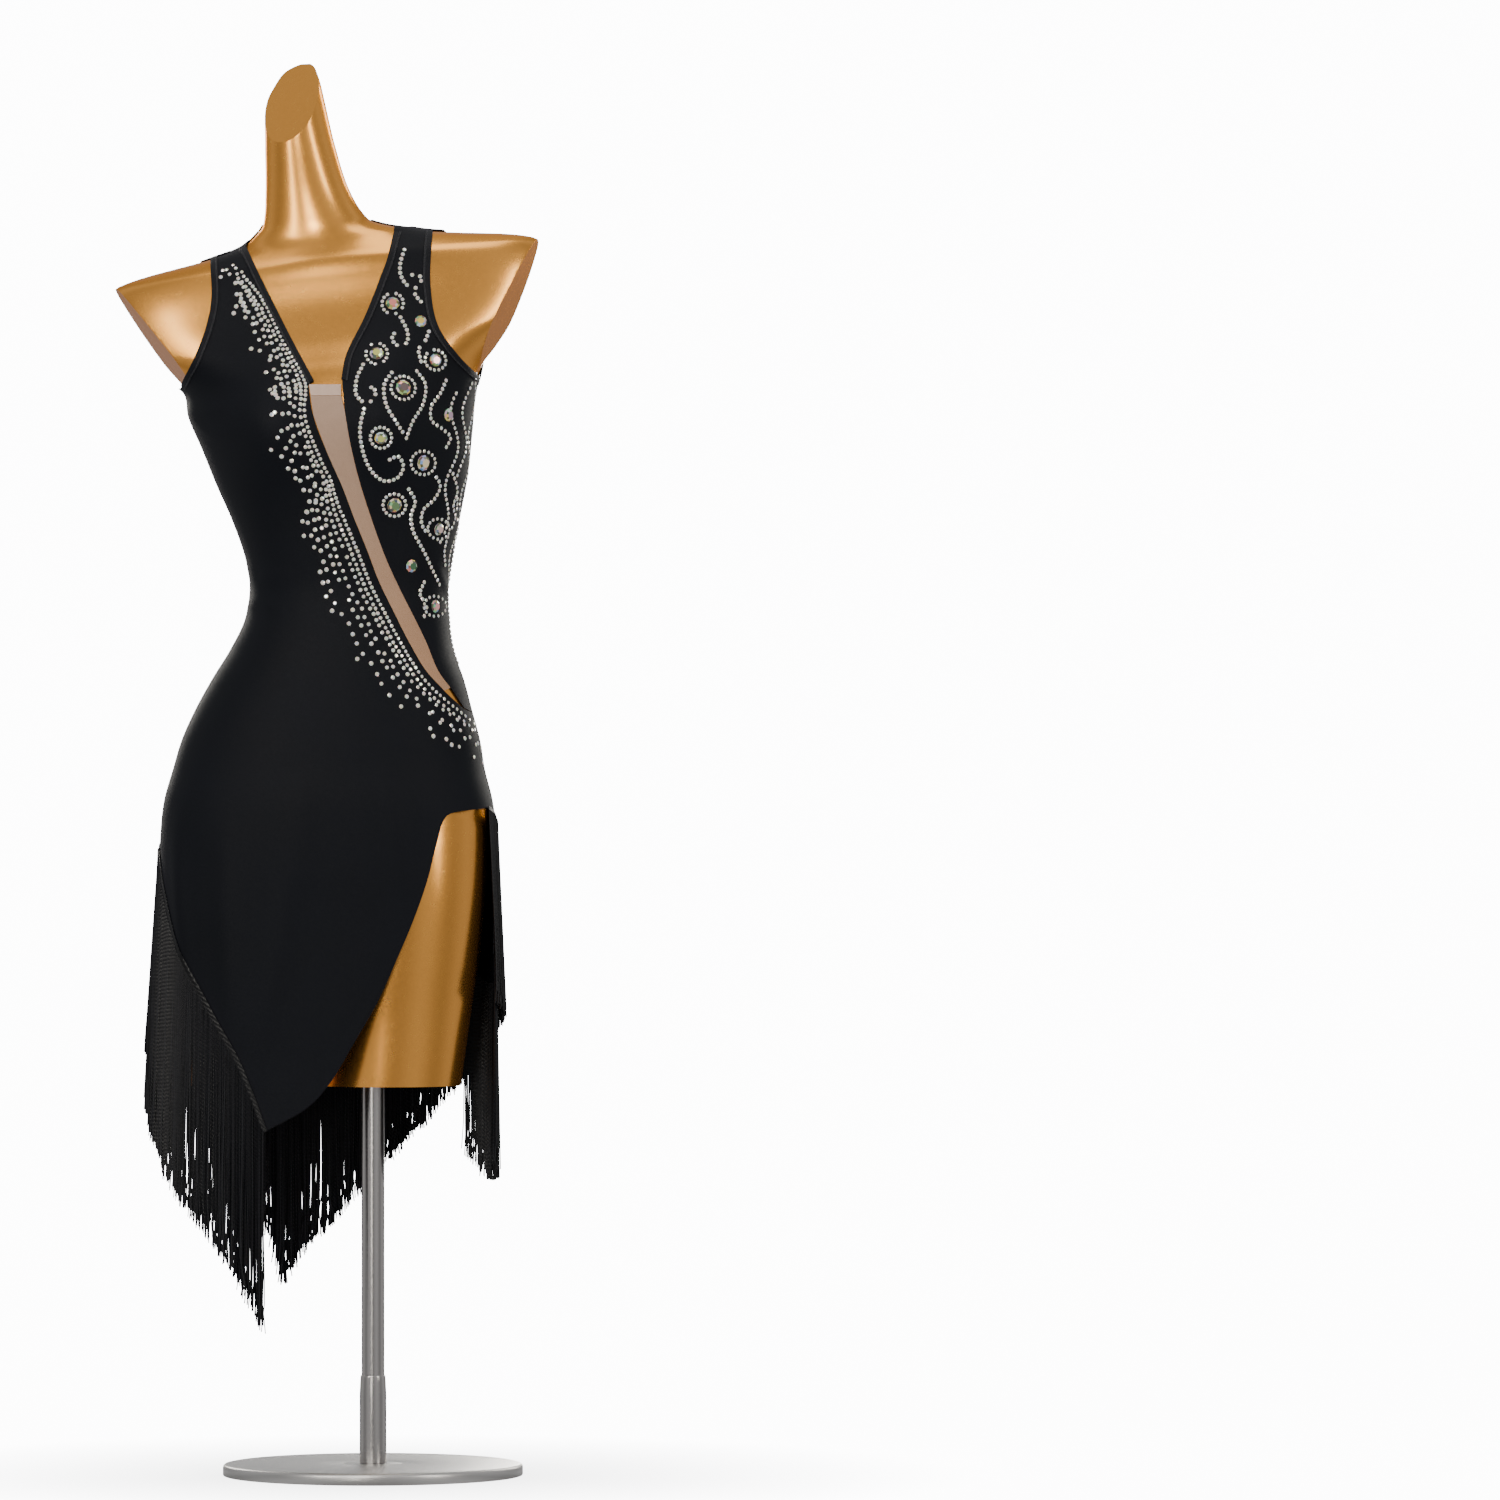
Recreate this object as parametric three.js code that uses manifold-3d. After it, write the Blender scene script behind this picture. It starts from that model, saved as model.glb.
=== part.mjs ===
// A sleeveless latin dance dress with a slit, an asymmetrical hem and cut fringe, worn by a
// torso form on a steel tube and a round foot. Millimetres, +Z up, the dress's front towards -Y,
// and the origin on the floor under the middle of the tube.
import * as THREE from 'three';
import { mergeVertices } from 'three/addons/utils/BufferGeometryUtils.js';
import Module from 'manifold-3d';

const wasm = await Module();
wasm.setup();

// Beyond every edge of the part: sideways, and in depth
const FAR = 340;
const DEEP = 200;

// The stand
const TUBE_RADIUS = 11.5;
const TUBE_TOP = 452;
const SLEEVE_RADIUS = 13.5;
const SLEEVE_TOP = 100;
const SLEEVE_TAPER = 16;
const FOOT_RADIUS = 150;
const FOOT_HEIGHT = 12;
const FOOT_CHAMFER = 3;
const SEAT_GAP = 0.3;
const BORE_DEPTH = 80;
const TUBE_AROUND = 24;

// The cloth: how far its inside lies off the form, its wall, and the gap left at a seam
const CLOTH_LIFT = 0.6;
const CLOTH_WALL = 1.6;
const SEAM_GAP = 0.3;
const BINDING_WIDTH = 7;
const BINDING_WALL = 1.8;
const BINDING_STEP = 26;
const BINDING_TURN = 0.2;
const CLOTH_OUTSIDE = CLOTH_LIFT + CLOTH_WALL;
const HALF_SEAM = SEAM_GAP / 2;

// The fringe: its heading tape and its strands
const HEADING_WIDTH = 9;
const HEADING_WALL = 1.6;
const STRAND_WIDTH = 3.6;
const STRAND_PITCH = 5.3;
const STRAND_UNEVEN = 14;
const STRAND_TIP = 0.6;
const STRAND_DEEP = 0.33;
const STRAND_ROOT = 0.3;

// The x that the shoulders lean about, and the flats round the body and round a thigh
const LEAN_AXIS = -47;
const AROUND = 32;
const THIGH_AROUND = 20;

// Sections of the form: height on the middle line, its left and right edges, its depth in front
// of and behind the middle plane, how square it is (2 is an ellipse), and its lean to one side.
const NECK = [
  { height: 1412, left: -90, right: -60, front: 18, back: 16, square: 2, lean: 0 },
  { height: 1404, left: -98, right: -56.5, front: 30, back: 25, square: 2, lean: 0 },
  { height: 1392, left: -102.5, right: -52.5, front: 36, back: 30, square: 2, lean: 0 },
  { height: 1375, left: -107.5, right: -48.5, front: 38, back: 32, square: 2, lean: 0 },
  { height: 1330, left: -108, right: -38, front: 38, back: 35, square: 2, lean: 0 },
  { height: 1285, left: -107.5, right: -23.5, front: 37, back: 44, square: 2, lean: 0 },
];
const TORSO = [
  { height: 1253, left: -110, right: -4, front: 38, back: 56, square: 2, lean: 0.06 },
  { height: 1245, left: -118, right: 12, front: 39, back: 58, square: 1.9, lean: 0.09 },
  { height: 1237, left: -131, right: 35, front: 41, back: 60, square: 1.8, lean: 0.12 },
  { height: 1231, left: -151, right: 59, front: 43, back: 62, square: 1.7, lean: 0.12 },
  { height: 1226, left: -183, right: 90, front: 45, back: 64, square: 1.65, lean: 0.12 },
  { height: 1219, left: -230, right: 137, front: 48, back: 68, square: 1.7, lean: 0.12 },
  { height: 1211, left: -258, right: 164, front: 52, back: 70, square: 1.95, lean: 0.12 },
  { height: 1195, left: -263, right: 169, front: 56, back: 75, square: 2.3, lean: 0.12 },
  { height: 1165, left: -259, right: 166, front: 64, back: 83, square: 2.5, lean: 0.12 },
  { height: 1134, left: -240, right: 153, front: 76, back: 90, square: 2.45, lean: 0.12 },
  { height: 1113, left: -207, right: 127, front: 86, back: 94, square: 2.3, lean: 0.11 },
  { height: 1096, left: -188, right: 110, front: 93, back: 97, square: 2.2, lean: 0.1 },
  { height: 1070, left: -183, right: 102, front: 97, back: 95, square: 2.25, lean: 0.09 },
  { height: 1035, left: -170, right: 98, front: 98, back: 90, square: 2.25, lean: 0.06 },
  { height: 995, left: -155, right: 93.5, front: 96, back: 81, square: 2.25, lean: 0.04 },
  { height: 955, left: -138.5, right: 85.5, front: 91, back: 73, square: 2.2, lean: 0.02 },
  { height: 915, left: -125.5, right: 77.5, front: 86, back: 68, square: 2.2, lean: 0 },
  { height: 885, left: -121.5, right: 73.5, front: 83, back: 67, square: 2.2, lean: 0 },
  { height: 855, left: -126.5, right: 74.5, front: 85, back: 72, square: 2.2, lean: 0 },
  { height: 825, left: -141, right: 79, front: 88, back: 82, square: 2.2, lean: 0 },
  { height: 795, left: -159.5, right: 89.5, front: 92, back: 93, square: 2.2, lean: 0 },
  { height: 765, left: -176, right: 97.5, front: 96, back: 103, square: 2.2, lean: 0 },
  { height: 735, left: -189.5, right: 105.5, front: 99, back: 110, square: 2.2, lean: 0 },
  { height: 705, left: -198.5, right: 110.5, front: 101, back: 114, square: 2.25, lean: 0 },
];
const SEAT = [
  { height: 675, left: -205, right: 114, front: 101, back: 115, square: 2.25, lean: 0 },
  { height: 645, left: -205, right: 111, front: 96, back: 108, square: 2.25, lean: 0 },
  { height: 615, left: -196, right: 102, front: 88, back: 98, square: 2.25, lean: 0 },
  { height: 590, left: -178, right: 84, front: 74, back: 82, square: 2.2, lean: 0 },
  { height: 570, left: -140, right: 46, front: 50, back: 55, square: 2.1, lean: 0 },
];
const SKIRT = [
  { height: 675, left: -207, right: 118, front: 103, back: 117, square: 2.3, lean: 0 },
  { height: 645, left: -210.5, right: 121.5, front: 103, back: 116, square: 2.35, lean: 0 },
  { height: 605, left: -212, right: 122.5, front: 102, back: 113, square: 2.4, lean: 0 },
  { height: 565, left: -212, right: 123, front: 100, back: 109, square: 2.5, lean: 0 },
  { height: 515, left: -211, right: 122.5, front: 98, back: 104, square: 2.5, lean: 0 },
  { height: 465, left: -210, right: 121, front: 96, back: 101, square: 2.5, lean: 0 },
  { height: 415, left: -209, right: 119, front: 94, back: 99, square: 2.5, lean: 0 },
  { height: 330, left: -208, right: 117, front: 92, back: 96, square: 2.5, lean: 0 },
];
// The two thigh stumps; the tube goes up into the one on the slit's side.
const SLIT_THIGH = [
  { height: 715, left: -50, right: 96, front: 80, back: 92, square: 2, lean: 0 },
  { height: 685, left: -52, right: 109, front: 86, back: 96, square: 2, lean: 0 },
  { height: 660, left: -53, right: 114, front: 89, back: 98, square: 2, lean: 0 },
  { height: 625, left: -52, right: 114.5, front: 91, back: 99, square: 2.05, lean: 0 },
  { height: 575, left: -48, right: 112, front: 90, back: 94, square: 2.1, lean: 0 },
  { height: 515, left: -50, right: 106, front: 85, back: 86, square: 2.1, lean: 0 },
  { height: 455, left: -53, right: 97, front: 77, back: 78, square: 2.1, lean: 0 },
  { height: 390, left: -56, right: 88, front: 71, back: 72, square: 2.1, lean: 0 },
];
const FAR_THIGH = [
  { height: 715, left: -182, right: -45, front: 78, back: 88, square: 2, lean: 0 },
  { height: 685, left: -195, right: -44, front: 81, back: 91, square: 2, lean: 0 },
  { height: 660, left: -200, right: -43, front: 84, back: 93, square: 2, lean: 0 },
  { height: 625, left: -204, right: -45, front: 86, back: 94, square: 2, lean: 0 },
  { height: 575, left: -204, right: -54, front: 85, back: 90, square: 2, lean: 0 },
  { height: 515, left: -200, right: -58, front: 83, back: 85, square: 2.05, lean: 0 },
  { height: 455, left: -194, right: -62, front: 77, back: 78, square: 2.1, lean: 0 },
  { height: 390, left: -183, right: -65, front: 71, back: 72, square: 2.1, lean: 0 },
];
const FORM_ROWS = [...NECK, ...TORSO, ...SEAT];
const DRESS_ROWS = [...NECK.slice(-1), ...TORSO, ...SKIRT];

// The bust: two soft rises on the front
const BUST = [
  { x: -103, z: 1042, rise: 25, wide: 46, high: 50 },
  { x: 19, z: 1054, rise: 25, wide: 46, high: 50 },
];

// The flat cuts: the neck's slant, and the two arm cuts from the tip down to the armpit
const NECK_CUT = { x: -79, y: 0, z: 1385, towards: [-0.45, -0.72, 0.53] };
const ARM_CUTS = [
  { tip: [-259, 1188], pit: [-184, 1085], out: -1, turn: 9 },
  { tip: [166, 1238], pit: [105, 1096], out: 1, turn: -9 },
];
const ARM_CUT_REACH = 90;

// Edges of the cut pieces, seen from the front: x from the tube's middle and z from the floor
const NECKLINE_RIGHT = [[-126, 1227], [-104, 1183], [-78, 1132], [-55, 1090]];
const NECKLINE_LEFT = [[22, 1240], [17, 1215], [10, 1195], [-5, 1155], [-23, 1115], [-27, 1091]];
const INSET_EDGE_RIGHT = [
  [-60, 1087], [-55, 1056], [-41, 1018], [-27, 986], [-15, 954], [-3, 924], [9, 892],
  [23, 863], [38, 833], [55, 804], [73, 784], [92, 766],
];
const INSET_EDGE_LEFT = [
  [-27, 1091], [-24, 1062], [-18, 1027], [-9, 989], [3, 951], [16, 915], [29, 886],
  [42, 860], [55, 833], [67, 804], [79, 787], [92, 767],
];
const INSET_TIP = [107, 759];
const ELASTIC = 11;
const OVER = 1290;
const ARMHOLE_RIGHT = [[-161, 1218], [-158, 1175], [-163, 1145], [-174, 1115], [-189, 1090]];
const UNDERARM_RIGHT = [[-FAR, 1079], [-191, 1086]];
const ARMHOLE_LEFT = [[60, 1240], [59, 1185], [67, 1145], [88, 1115], [106, 1097]];
const FRONT_HEM = [
  [-211.5, 627], [-210, 613], [-207, 590], [-191, 528], [-160, 466], [-131, 413], [-105, 346],
];
const SLIT_EDGE = [
  [-105, 346], [-61, 371], [-39, 395], [-15, 435], [8, 475], [26, 515], [43, 555],
  [57, 595], [67, 635], [73, 655], [79, 661.5], [113, 667],
];
const BACK_ARMHOLE_LEFT = [
  [60, 1249], [74, 1240], [86, 1217], [96, 1183], [105, 1155], [109, 1130], [106, 1097],
];
const BACK_ARMHOLE_RIGHT = [
  [-160, 1229], [-171, 1214], [-185, 1186], [-196, 1158], [-202, 1125], [-198, 1104], [-189, 1090],
];
const OPENING_LEFT = [
  [11, 1231], [23, 1215], [45, 1175], [62, 1135], [77, 1095], [87, 1055], [90, 1020],
  [86, 995], [78, 975], [60, 955], [38, 935], [12, 915], [-12, 895], [-32, 880],
];
const OPENING_RIGHT = [
  [-107, 1223], [-113, 1215], [-131, 1175], [-142, 1135], [-154, 1095], [-159, 1055], [-156, 1025],
  [-140, 995], [-125, 975], [-109, 955], [-91, 935], [-72, 915], [-54, 895], [-32, 880],
];
const BACK_HEM_RIGHT = [
  [-211.5, 627], [-206, 613], [-189, 584], [-160, 528], [-130, 484], [-112, 454], [-93, 398],
];
const BACK_HEM_LEFT = [
  [-93, 398], [-78, 427], [-48, 454], [-15, 491], [19, 525], [50, 554], [76, 584], [108, 607],
  [117, 625], [122, 645],
];
const BAND = {
  top: 1254, bottom: 1224, right: [[-117, 1250], [-107, 1223]], left: [[21, 1256], [11, 1231]],
};

// The corner of skirt behind the slit: its angles round the side, from the front to the back
const DRAPE = { from: -8, to: 42, top: 652, hem: 492, hemRise: 30 };

// The short fringe behind the slit: turns round the side in degrees, and their heights
const SIDE_FRINGE = [[34, 612], [22, 632], [10, 646], [0, 654], [-8, 660], [-16, 665]];

// The clasp behind the neck
const CLASP = { x: -50, width: 15, top: 1257, bottom: 1220, wall: 1.8, bead: 3.2, beads: [1247, 1232] };

// The large set stones of the left bodice: place and radius
const STONES = [
  { x: 22, z: 1168, radius: 7 }, { x: 50, z: 1150, radius: 6 }, { x: 7, z: 1117, radius: 7 },
  { x: 64, z: 1112, radius: 6.5 }, { x: 33, z: 1083, radius: 8 }, { x: 76, z: 1058, radius: 6.5 },
  { x: 12, z: 1034, radius: 6.5 }, { x: 52, z: 1010, radius: 8 }, { x: 24, z: 968, radius: 7.5 },
  { x: 66, z: 945, radius: 6.5 }, { x: 40, z: 908, radius: 6.5 }, { x: 62, z: 868, radius: 6.5 },
];
const STONE_HEIGHT = 0.55;
const STONE_TABLE = 0.58;
const STONE_AROUND = 7;

const finish = {
  gold: new THREE.MeshStandardMaterial({ color: 0xc8923f, roughness: 0.22, metalness: 0.75 }),
  steel: new THREE.MeshStandardMaterial({ color: 0x9a9593, roughness: 0.3, metalness: 1 }),
  foot: new THREE.MeshStandardMaterial({ color: 0xa9a7a5, roughness: 0.35, metalness: 1 }),
  lycra: new THREE.MeshStandardMaterial({ color: 0x14151b, roughness: 0.55, metalness: 0 }),
  fringe: new THREE.MeshStandardMaterial({ color: 0x0a0a0d, roughness: 0.6, metalness: 0 }),
  mesh: new THREE.MeshStandardMaterial({ color: 0xb98a62, roughness: 0.7, metalness: 0 }),
  elastic: new THREE.MeshStandardMaterial({ color: 0xd0a080, roughness: 0.35, metalness: 0 }),
  stone: new THREE.MeshStandardMaterial({ color: 0xd9e4dc, roughness: 0.05, metalness: 0.3 }),
};

// Smooth value of one column between the rows of a section table
function between(rows, height, column) {
  let i = 0;
  while (i < rows.length - 2 && rows[i + 1].height > height) i += 1;
  const before = rows[Math.max(i - 1, 0)];
  const a = rows[i];
  const b = rows[i + 1];
  const after = rows[Math.min(i + 2, rows.length - 1)];
  const span = b.height - a.height;
  const t = THREE.MathUtils.clamp((height - a.height) / span, 0, 1);
  const slopeA = ((b[column] - before[column]) / (b.height - before.height)) * span;
  const slopeB = ((after[column] - a[column]) / (after.height - a.height)) * span;
  const t2 = t * t;
  const t3 = t2 * t;
  return (2 * t3 - 3 * t2 + 1) * a[column] + (t3 - 2 * t2 + t) * slopeA
    + (3 * t2 - 2 * t3) * b[column] + (t3 - t2) * slopeB;
}

function section(rows, height) {
  const left = between(rows, height, 'left');
  const right = between(rows, height, 'right');
  return {
    middle: (left + right) / 2,
    half: (right - left) / 2,
    front: between(rows, height, 'front'),
    back: between(rows, height, 'back'),
    power: 2 / between(rows, height, 'square'),
    lean: between(rows, height, 'lean'),
  };
}

const turned = (outline) => [...outline].reverse();

const signedPower = (value, power) => Math.sign(value) * Math.abs(value) ** power;

function bustRise(x, z) {
  return BUST.reduce((sum, b) => sum
    + b.rise * Math.exp(-(((x - b.x) / b.wide) ** 2) - ((z - b.z) / b.high) ** 2), 0);
}

// A point of the surface: angle 0 is the slit's side, 90 degrees the back, -90 the front
function onForm(rows, height, angle) {
  const s = section(rows, height);
  const x = s.middle + s.half * signedPower(Math.cos(angle), s.power);
  const z = height + s.lean * (x - LEAN_AXIS);
  const depth = Math.sin(angle) < 0 ? s.front + bustRise(x, z) : s.back;
  return new THREE.Vector3(x, depth * signedPower(Math.sin(angle), s.power), z);
}

function normalAt(rows, height, angle) {
  const turn = 0.02;
  const rise = 2;
  const along = onForm(rows, height, angle + turn).sub(onForm(rows, height, angle - turn));
  const up = onForm(rows, height + rise, angle).sub(onForm(rows, height - rise, angle));
  return along.cross(up).normalize();
}

function raised(rows, height, angle, lift) {
  return onForm(rows, height, angle).addScaledVector(normalAt(rows, height, angle), lift);
}

// The height and angle of the dress's surface under a point seen from the front or the back
function seenAt(x, z, side) {
  let height = z;
  for (let i = 0; i < 6; i += 1) height = z - section(DRESS_ROWS, height).lean * (x - LEAN_AXIS);
  const s = section(DRESS_ROWS, height);
  const across = THREE.MathUtils.clamp((x - s.middle) / s.half, -1, 1);
  const angle = Math.acos(signedPower(across, 1 / s.power));
  return { height, angle: side * angle };
}
const FRONT = -1;
const BACK = 1;

// A closed skin over rings of points, each ring the same length, with a flat end at each end
function skin(rings) {
  const count = rings[0].length;
  const points = rings.flat();
  const faces = [];
  for (let r = 0; r < rings.length - 1; r += 1) {
    for (let c = 0; c < count; c += 1) {
      const next = (c + 1) % count;
      const a = r * count + c;
      const b = r * count + next;
      const d = (r + 1) * count + c;
      const e = (r + 1) * count + next;
      faces.push(a, d, b, b, d, e);
    }
  }
  const ends = [[0, 1], [rings.length - 1, -1]];
  ends.forEach(([ring, way]) => {
    if (count === 3) {
      const first = ring * count;
      faces.push(...(way > 0 ? [first, first + 1, first + 2] : [first, first + 2, first + 1]));
      return;
    }
    const middle = rings[ring].reduce((sum, p) => sum.add(p), new THREE.Vector3()).divideScalar(count);
    const hub = points.push(middle) - 1;
    for (let c = 0; c < count; c += 1) {
      const a = ring * count + c;
      const b = ring * count + ((c + 1) % count);
      if (way > 0) faces.push(hub, a, b);
      else faces.push(hub, b, a);
    }
  });
  const geometry = new THREE.BufferGeometry().setFromPoints(points);
  geometry.setIndex(faces);
  return geometry;
}

function toSolid(geometry) {
  const bare = geometry.clone();
  bare.deleteAttribute('normal');
  bare.deleteAttribute('uv');
  const merged = mergeVertices(bare, 1e-4);
  return new wasm.Manifold(new wasm.Mesh({
    numProp: 3,
    vertProperties: new Float32Array(merged.attributes.position.array),
    triVerts: new Uint32Array(merged.index.array),
  }));
}

function toGeometry(solid) {
  const mesh = solid.getMesh();
  const geometry = new THREE.BufferGeometry();
  geometry.setAttribute('position', new THREE.BufferAttribute(new Float32Array(mesh.vertProperties), 3));
  geometry.setIndex(new THREE.BufferAttribute(new Uint32Array(mesh.triVerts), 1));
  return geometry;
}

// A closed loft of a section table, moved out by lift, from the first row to the last
function loft(rows, around, lift) {
  const rings = rows.map((row) => {
    const ring = [];
    for (let c = 0; c < around; c += 1) {
      ring.push(raised(rows, row.height, (2 * Math.PI * c) / around, lift));
    }
    return ring;
  });
  return toSolid(skin(rings));
}

// An outline in x and z, extruded along y from one depth to another
function prism(outline, from, to) {
  const shape = new THREE.Shape(outline.map(([x, z]) => new THREE.Vector2(x, z)));
  const geometry = new THREE.ExtrudeGeometry(shape, { depth: to - from, bevelEnabled: false });
  geometry.rotateX(Math.PI / 2);
  geometry.translate(0, to, 0);
  return toSolid(geometry);
}

// A block that lies on one side of a plane
function block(point, towards, size) {
  const geometry = new THREE.BoxGeometry(size, size, size);
  geometry.translate(0, 0, size / 2);
  const up = new THREE.Vector3(0, 0, 1);
  const turn = new THREE.Quaternion().setFromUnitVectors(up, towards.clone().normalize());
  geometry.applyQuaternion(turn);
  geometry.translate(point.x, point.y, point.z);
  return toSolid(geometry);
}

function makeForm() {
  const body = loft(FORM_ROWS, AROUND, 0);
  const thighs = [SLIT_THIGH, FAR_THIGH].map((rows) => loft(rows, THIGH_AROUND, 0));
  let form = thighs.reduce((sum, thigh) => sum.add(thigh), body);
  const { x, y, z, towards } = NECK_CUT;
  form = form.subtract(block(new THREE.Vector3(x, y, z), new THREE.Vector3(...towards), DEEP));
  ARM_CUTS.forEach(({ tip, pit, out, turn }) => {
    const beyond = [[pit[0] + out * ARM_CUT_REACH * 2, pit[1]], [tip[0] + out * ARM_CUT_REACH, tip[1]]];
    const outline = [tip, pit, ...beyond];
    const cutter = toGeometry(prism(out < 0 ? outline : turned(outline), -DEEP, DEEP));
    cutter.translate(-tip[0], 0, 0);
    cutter.rotateZ(THREE.MathUtils.degToRad(turn));
    cutter.translate(tip[0], 0, 0);
    form = form.subtract(toSolid(cutter));
  });
  const boreRadius = TUBE_RADIUS + SEAT_GAP;
  const bore = new THREE.CylinderGeometry(boreRadius, boreRadius, BORE_DEPTH, TUBE_AROUND);
  bore.rotateX(Math.PI / 2);
  bore.translate(0, 0, TUBE_TOP + SEAT_GAP - BORE_DEPTH / 2);
  return form.subtract(toSolid(bore));
}

// A point on the dress's flat facets: between the four corners of the facet it falls in
const facetRings = new Map();
function onFacet(height, angle, lift) {
  if (!facetRings.has(lift)) {
    facetRings.set(lift, DRESS_ROWS.map((row) => Array.from({ length: AROUND }, (_, c) => (
      raised(DRESS_ROWS, row.height, (2 * Math.PI * c) / AROUND, lift)))));
  }
  const rings = facetRings.get(lift);
  let r = 0;
  while (r < DRESS_ROWS.length - 2 && DRESS_ROWS[r + 1].height > height) r += 1;
  const down = (DRESS_ROWS[r].height - height) / (DRESS_ROWS[r].height - DRESS_ROWS[r + 1].height);
  const turn = (((angle / (2 * Math.PI)) % 1 + 1) % 1) * AROUND;
  const c = Math.floor(turn) % AROUND;
  const next = (c + 1) % AROUND;
  const upper = rings[r][c].clone().lerp(rings[r][next], turn - Math.floor(turn));
  const lower = rings[r + 1][c].clone().lerp(rings[r + 1][next], turn - Math.floor(turn));
  return upper.lerp(lower, THREE.MathUtils.clamp(down, 0, 1));
}

// The whole dress as one wall, from which each piece is cut
function makeWall() {
  return loft(DRESS_ROWS, AROUND, CLOTH_OUTSIDE).subtract(loft(DRESS_ROWS, AROUND, CLOTH_LIFT));
}

const shifted = (outline, x, z = 0) => outline.map(([px, pz]) => [px + x, pz + z]);

function cutPieces(wall) {
  const front = (outline) => wall.intersect(prism(outline, -DEEP, -HALF_SEAM));
  const back = (outline) => wall.intersect(prism(outline, HALF_SEAM, DEEP));
  const insetTop = INSET_EDGE_RIGHT[0][1];
  return {
    front_right: front([
      [-126, OVER], ...NECKLINE_RIGHT, ...shifted(INSET_EDGE_RIGHT, -HALF_SEAM), INSET_TIP,
      [FAR, INSET_TIP[1]], [FAR, 668], ...turned(SLIT_EDGE), ...turned(FRONT_HEM).slice(1),
      [-FAR, 627], ...UNDERARM_RIGHT, ...turned(ARMHOLE_RIGHT), [-161, OVER],
    ]),
    front_left: front([
      [60, OVER], ...ARMHOLE_LEFT, [FAR, 1097], [FAR, INSET_TIP[1] + SEAM_GAP],
      [INSET_TIP[0], INSET_TIP[1] + SEAM_GAP],
      ...turned(shifted(INSET_EDGE_LEFT, HALF_SEAM, HALF_SEAM)), ...turned(NECKLINE_LEFT).slice(1),
      [22, OVER],
    ]),
    mesh_inset: front([
      ...shifted(INSET_EDGE_RIGHT, HALF_SEAM).slice(1, -1),
      ...turned(shifted(INSET_EDGE_LEFT, -HALF_SEAM)).slice(1, -1),
      [-27.6, insetTop - ELASTIC - SEAM_GAP], [-57.8, insetTop - ELASTIC - SEAM_GAP],
    ]),
    inset_elastic: front([
      [-57.6, insetTop - ELASTIC], [-27.5, insetTop - ELASTIC], [-28, insetTop], [-59.6, insetTop],
    ]),
    back_panel: back([
      [63, OVER], ...BACK_ARMHOLE_LEFT, [FAR, 1094], [FAR, 645], ...turned(BACK_HEM_LEFT),
      ...turned(BACK_HEM_RIGHT).slice(1), [-FAR, 627], ...UNDERARM_RIGHT,
      ...turned(BACK_ARMHOLE_RIGHT), [-160, OVER], [-117, OVER], [-117, 1250], ...OPENING_RIGHT,
      ...turned(OPENING_LEFT).slice(1), [21, 1256], [21, OVER],
    ]),
    neck_band_right: back([
      ...shifted(BAND.right, SEAM_GAP), [CLASP.x - HALF_SEAM, BAND.bottom],
      [CLASP.x - HALF_SEAM, BAND.top],
    ]),
    neck_band_left: back([
      [CLASP.x + HALF_SEAM, BAND.top], ...shifted(BAND.left, -SEAM_GAP),
      [CLASP.x + HALF_SEAM, BAND.bottom],
    ]),
  };
}

// Places on the dress along an outline: a curve through its points, walked in even steps that
// are shorter where the surface turns
function walk(outline, side, step, turn = Math.PI) {
  const points = outline.map(([x, z]) => new THREE.Vector3(x, 0, z));
  const curve = new THREE.CatmullRomCurve3(points, false, 'centripetal');
  const places = [];
  const fine = 200;
  let last = null;
  let facing = null;
  for (let i = 0; i <= fine; i += 1) {
    const p = curve.getPoint(i / fine);
    const place = seenAt(p.x, p.z, side);
    const point = onForm(DRESS_ROWS, place.height, place.angle);
    const out = normalAt(DRESS_ROWS, place.height, place.angle);
    if (!last || point.distanceTo(last) >= step || out.angleTo(facing) >= turn || i === fine) {
      places.push(place);
      last = point;
      facing = out;
    }
  }
  return places;
}

// A ribbon that lies on the dress along places, its width across the way it runs
function ribbon(places, width, lift, wall) {
  const middle = places.map(({ height, angle }) => onForm(DRESS_ROWS, height, angle));
  const rings = places.map(({ height, angle }, i) => {
    const way = middle[Math.min(i + 1, middle.length - 1)].clone().sub(middle[Math.max(i - 1, 0)]);
    const out = normalAt(DRESS_ROWS, height, angle);
    const across = way.cross(out).normalize();
    const corner = (w, l) => middle[i].clone().addScaledVector(across, w).addScaledVector(out, l);
    const half = width / 2;
    return [corner(-half, lift), corner(half, lift), corner(half, lift + wall), corner(-half, lift + wall)];
  });
  return closedSolid(skin(rings));
}

// A skin whose rings may run either way round comes out with its faces outwards
function closedSolid(geometry) {
  const solid = toSolid(geometry);
  if (solid.volume() > 0) return solid;
  const turnedOver = geometry.clone();
  const index = Array.from(geometry.index.array);
  for (let i = 0; i < index.length; i += 3) [index[i + 1], index[i + 2]] = [index[i + 2], index[i + 1]];
  turnedOver.setIndex(index);
  return toSolid(turnedOver);
}

// What lies on the cloth is cut back to it, because the cloth's wall is in flat facets
const dressOutside = loft(DRESS_ROWS, AROUND, CLOTH_OUTSIDE + HALF_SEAM);

function largest(solid) {
  return solid.decompose().reduce((best, one) => (one.volume() > best.volume() ? one : best));
}

const clearOfCloth = (solid) => largest(solid.subtract(dressOutside));

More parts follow.
